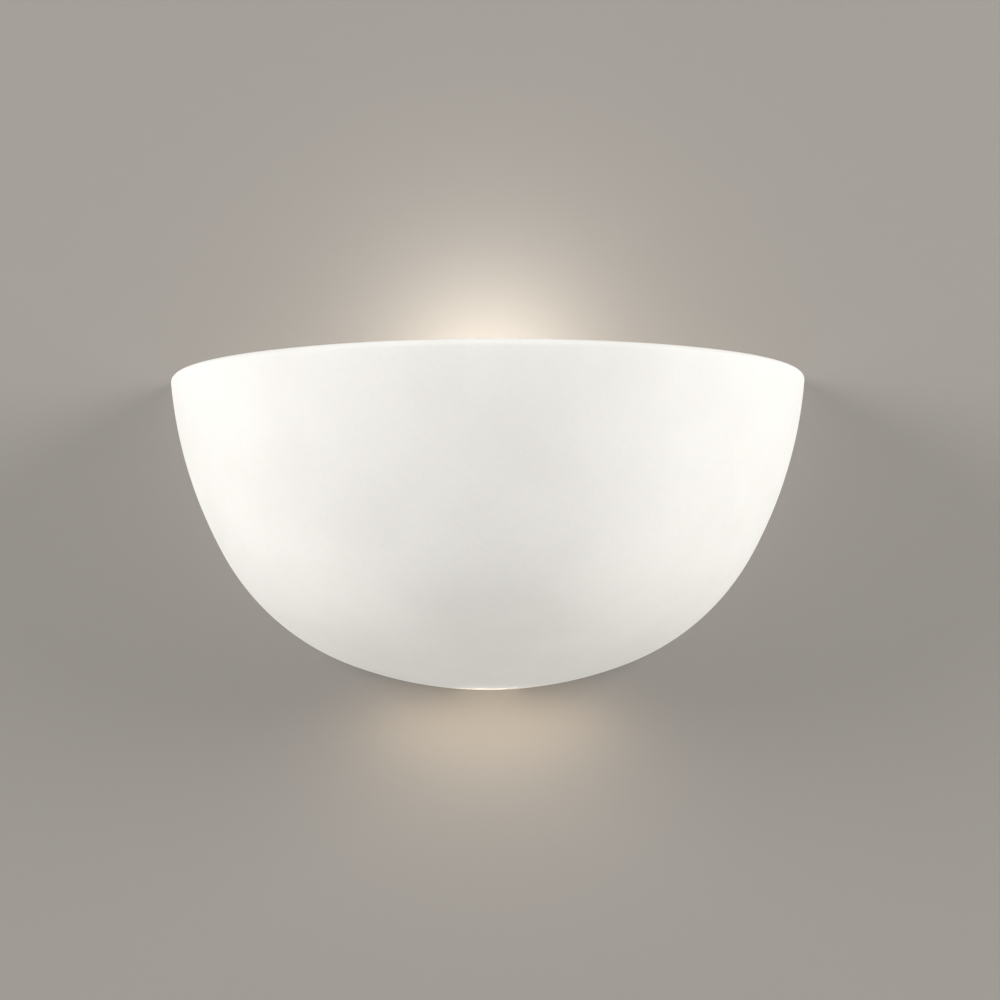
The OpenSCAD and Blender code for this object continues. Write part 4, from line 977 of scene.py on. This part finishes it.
# %% Round the edges of the CAD pieces
def dress(node, material, edge):
    """Gives a CAD node its finish and edges rounded by so many millimetres, without touching its mesh."""
    piece = frame["nodes"][node]
    piece.data.materials.clear()
    piece.data.materials.append(material)
    piece.data.polygons.foreach_set("use_smooth", np.ones(len(piece.data.polygons), bool))
    weld = piece.modifiers.new("Join loose triangles", "WELD")
    weld.merge_threshold = 1e-6
    flat = piece.modifiers.new("One face for each flat", "DECIMATE")
    flat.decimate_type, flat.angle_limit = "DISSOLVE", math.radians(0.5)
    rounded = piece.modifiers.new("Round the edges", "BEVEL")
    rounded.limit_method, rounded.angle_limit = "ANGLE", math.radians(30)
    rounded.width, rounded.segments = edge * MM, 2
    flats = piece.modifiers.new("Flats stay flat", "WEIGHTED_NORMAL")
    flats.mode, flats.weight, flats.keep_sharp = "FACE_AREA", 100, False
    return piece


DRESSED = {
    "wall_bar": (zinc_steel, 0.25), "lamp_carrier": (zinc_steel, 0.25), "carrier_rivets": (zinc_steel, 0.3),
    "holder_porcelain": (porcelain, 0.4), "terminal_block": (block_plastic, 0.25),
    "clamp_tubes": (brass, 0.15), "clamp_screws": (zinc_steel, 0.1),
    "earth_cup_washer": (brass, 0.1), "earth_lock_washer": (zinc_steel, 0.05), "lead_clip": (nylon, 0.2),
    "holder_terminals": (brass, 0.15), "holder_terminal_screws": (zinc_steel, 0.1),
    "holder_fixing_screws": (zinc_steel, 0.2), "holder_centre_contact": (brass, 0.08),
    "lead_ferrules": (nickel_cap, 0.1), "lamp_led_board": (board, 0.1),
}
for node, (material, edge) in DRESSED.items():
    dress(node, material, edge)
print(len(DRESSED), "CAD pieces dressed")

# %% [markdown]
# ## Stage, light and camera
#
# The bowl is shown against a plain wall, because half of what it does is the light that it throws there. The
# wall shows from the front only, so that the fitting can be looked at from behind. A plain pale floor lies
# far below.

# %% Wall and floor
NEAR_WALL = 20 * MM                             # mirrored rays shorter than this pass the wall


def mirrors(tree, rays):
    """1 for rays that come from a mirror or through glass. They show the background as the camera does."""
    return math_node(tree, "MAXIMUM", rays["Is Glossy Ray"], rays["Is Transmission Ray"])


def stage_material(name, colour, backdrop=False):
    """A matt paint. A backdrop shows only its front, to the camera and in metal or glass. Soft light passes
    it, and so do short mirrored rays, so that the room also lights the back of the fitting."""
    material = bpy.data.materials.new(name)
    material.use_nodes = True
    tree = material.node_tree
    shader = tree.nodes["Principled BSDF"]
    shader.inputs["Base Color"].default_value = (*colour, 1)
    shader.inputs["Roughness"].default_value = 0.95
    if backdrop:
        behind = add_node(tree, "ShaderNodeNewGeometry").outputs["Backfacing"]
        rays = add_node(tree, "ShaderNodeLightPath").outputs
        mirrored = math_node(tree, "MULTIPLY", mirrors(tree, rays),
                             math_node(tree, "GREATER_THAN", rays["Ray Length"], NEAR_WALL))
        passed = math_node(tree, "SUBTRACT", 1.0, math_node(tree, "MAXIMUM", rays["Is Camera Ray"], mirrored))
        clear = add_node(tree, "ShaderNodeBsdfTransparent")
        choose = add_node(tree, "ShaderNodeMixShader", {
            0: math_node(tree, "MAXIMUM", behind, passed),
            1: shader.outputs["BSDF"], 2: clear.outputs["BSDF"]})
        tree.links.new(choose.outputs[0], tree.nodes["Material Output"].inputs["Surface"])
    return material


def stage_plane(name, corners, material):
    """A rectangle of the stage, which belongs to no body."""
    mesh = bpy.data.meshes.new(name)
    mesh.from_pydata(corners, [], [[0, 1, 2, 3]])
    mesh.materials.append(material)
    plane = bpy.data.objects.new(name, mesh)
    bpy.context.scene.collection.objects.link(plane)
    return plane


WALL_HALF, FLOOR_Z, CEILING_Z, ROOM_DEPTH = 3.0, -1.4, 2.2, 4.0
wall_tone = stage_material("wall_paint", (0.32, 0.302, 0.283), True)
floor_tone = stage_material("floor_paint", (0.80, 0.79, 0.77))
BEHIND = 0.3 * MM                               # the wall's face stands this far behind the ground edge
stage_plane("backdrop_wall", [(-WALL_HALF, BEHIND, FLOOR_Z), (WALL_HALF, BEHIND, FLOOR_Z),
                              (WALL_HALF, BEHIND, CEILING_Z), (-WALL_HALF, BEHIND, CEILING_Z)], wall_tone)
stage_plane("floor", [(-WALL_HALF, -ROOM_DEPTH, FLOOR_Z), (WALL_HALF, -ROOM_DEPTH, FLOOR_Z),
                      (WALL_HALF, ROOM_DEPTH, FLOOR_Z), (-WALL_HALF, ROOM_DEPTH, FLOOR_Z)], floor_tone)

# %% [markdown]
# Two wide soft lamps stand far out to the left and right, in front of the wall and above the bowl, which is
# what makes it bright at its sides and darker down its middle. A weak third one lights it from below. The
# small lamps stand for light that leaves the object: out over the rim, down through the slot, and along the
# slot's own wall. They ride on the shade or on the lamp, so that they go where these go. The globe has a
# lamp of its own size, which lights everything but the globe.

# %% Lights
def soft_lamp(name, place, aim, size, watts, colour, body=None, flat=None):
    """A round soft lamp, or an oval one where flat gives its height. With a body it rides on that body."""
    light = bpy.data.lights.new(name, "AREA")
    light.shape, light.size, light.size_y = "ELLIPSE", size, size if flat is None else flat
    light.energy, light.color = watts, colour
    lamp = bpy.data.objects.new(name, light)
    bpy.context.scene.collection.objects.link(lamp)
    lamp.location = place
    lamp.rotation_euler = (Vector(aim) - Vector(place)).to_track_quat("-Z", "Y").to_euler()
    lamp.visible_camera = False
    if body:
        lamp.parent = frame["bodies"][body]
    return lamp


WHITE, PALE, WARM, WARMER = (1.0, 0.99, 0.975), (1.0, 0.96, 0.88), (1.0, 0.88, 0.72), (1.0, 0.79, 0.52)
BOWL_MIDDLE = (0, -0.05, -0.03)
for side, name in ((-1, "lamp_left"), (1, "lamp_right")):
    soft_lamp(name, (2.1 * side, -0.9, 0.72), BOWL_MIDDLE, 1.4, 43, WHITE)
soft_lamp("lamp_low", (0, -2.2, -1.1), (0, -0.1, -0.05), 1.2, 2.5, (1.0, 0.98, 0.95))
soft_lamp("glow_up", (0, -0.052, 0.046), (0, 0.02, 0.075), 0.05, 0.062, PALE, "lamp")
soft_lamp("glow_down", (0, -0.03, -0.115), (0, 0, -0.167), 0.13, 0.023, WARMER, "shade", flat=0.02)
soft_lamp("slot_light", (0, -0.001, -0.1095), (0, -0.02, -0.1), 0.028, 0.003, WARM, "shade", flat=0.002)

low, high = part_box("lamp_globe")
globe_r = (high.x - low.x) / 2
bulb = bpy.data.lights.new("globe_light", "POINT")
bulb.energy, bulb.color, bulb.shadow_soft_size = 0.185, WARM, globe_r + 0.5 * MM
bulb.use_soft_falloff = False                   # the light leaves the whole face of the globe
globe_light = bpy.data.objects.new("globe_light", bulb)
bpy.context.scene.collection.objects.link(globe_light)
globe_light.location = (0, (low.y + high.y) / 2, high.z - globe_r)
globe_light.visible_camera = False
globe_light.parent = frame["bodies"]["lamp"]
apart = bpy.data.collections.new("not lit by the globe_light")
apart.objects.link(globe)                       # it glows by itself, and would burn out under this lamp
apart.collection_objects[0].light_linking.link_state = "EXCLUDE"
globe_light.light_linking.receiver_collection = apart

# %% [markdown]
# The room gives an even weak light from all sides. What the camera and mirrors see of it is a pale grey, and
# that grey lights nothing, so the background can be set without changing the light on the object.

# %% Light of the room
world = bpy.data.worlds.new("room_light")
bpy.context.scene.world = world
world.use_nodes = True
sky = world.node_tree
light_sky = sky.nodes["Background"]
light_sky.inputs["Color"].default_value, light_sky.inputs["Strength"].default_value = (*WHITE, 1), 0.45
seen_sky = add_node(sky, "ShaderNodeBackground", {"Color": (0.74, 0.73, 0.71, 1), "Strength": 1.0})
rays = add_node(sky, "ShaderNodeLightPath").outputs
choose = add_node(sky, "ShaderNodeMixShader", {
    0: math_node(sky, "MAXIMUM", rays["Is Camera Ray"], mirrors(sky, rays)),
    1: light_sky.outputs[0], 2: seen_sky.outputs[0]})
sky.links.new(choose.outputs[0], sky.nodes["World Output"].inputs["Surface"])

# %% [markdown]
# The camera stands 1.3 m in front of the wall, level with the foot of the bowl, and looks up a little. So
# the front of the rim rises above its two corners in a shallow arc, and the lamp inside stays hidden.

# %% Camera
LENS, SENSOR = 95.5, 36                         # both in millimetres, as Blender takes them
EYE, TILT, ROLL = (0.0052, -1.3, -0.105), math.radians(94.01), math.radians(0.31)
camera = bpy.data.cameras.new("camera")
camera.lens, camera.sensor_width = LENS, SENSOR
viewer = bpy.data.objects.new("camera", camera)
bpy.context.scene.collection.objects.link(viewer)
viewer.location, viewer.rotation_euler = EYE, (TILT, ROLL, 0)
bpy.context.scene.camera = viewer
bpy.context.scene.view_settings.view_transform = "Standard"
print("the picture is %.1f degrees wide" % math.degrees(camera.angle_x))
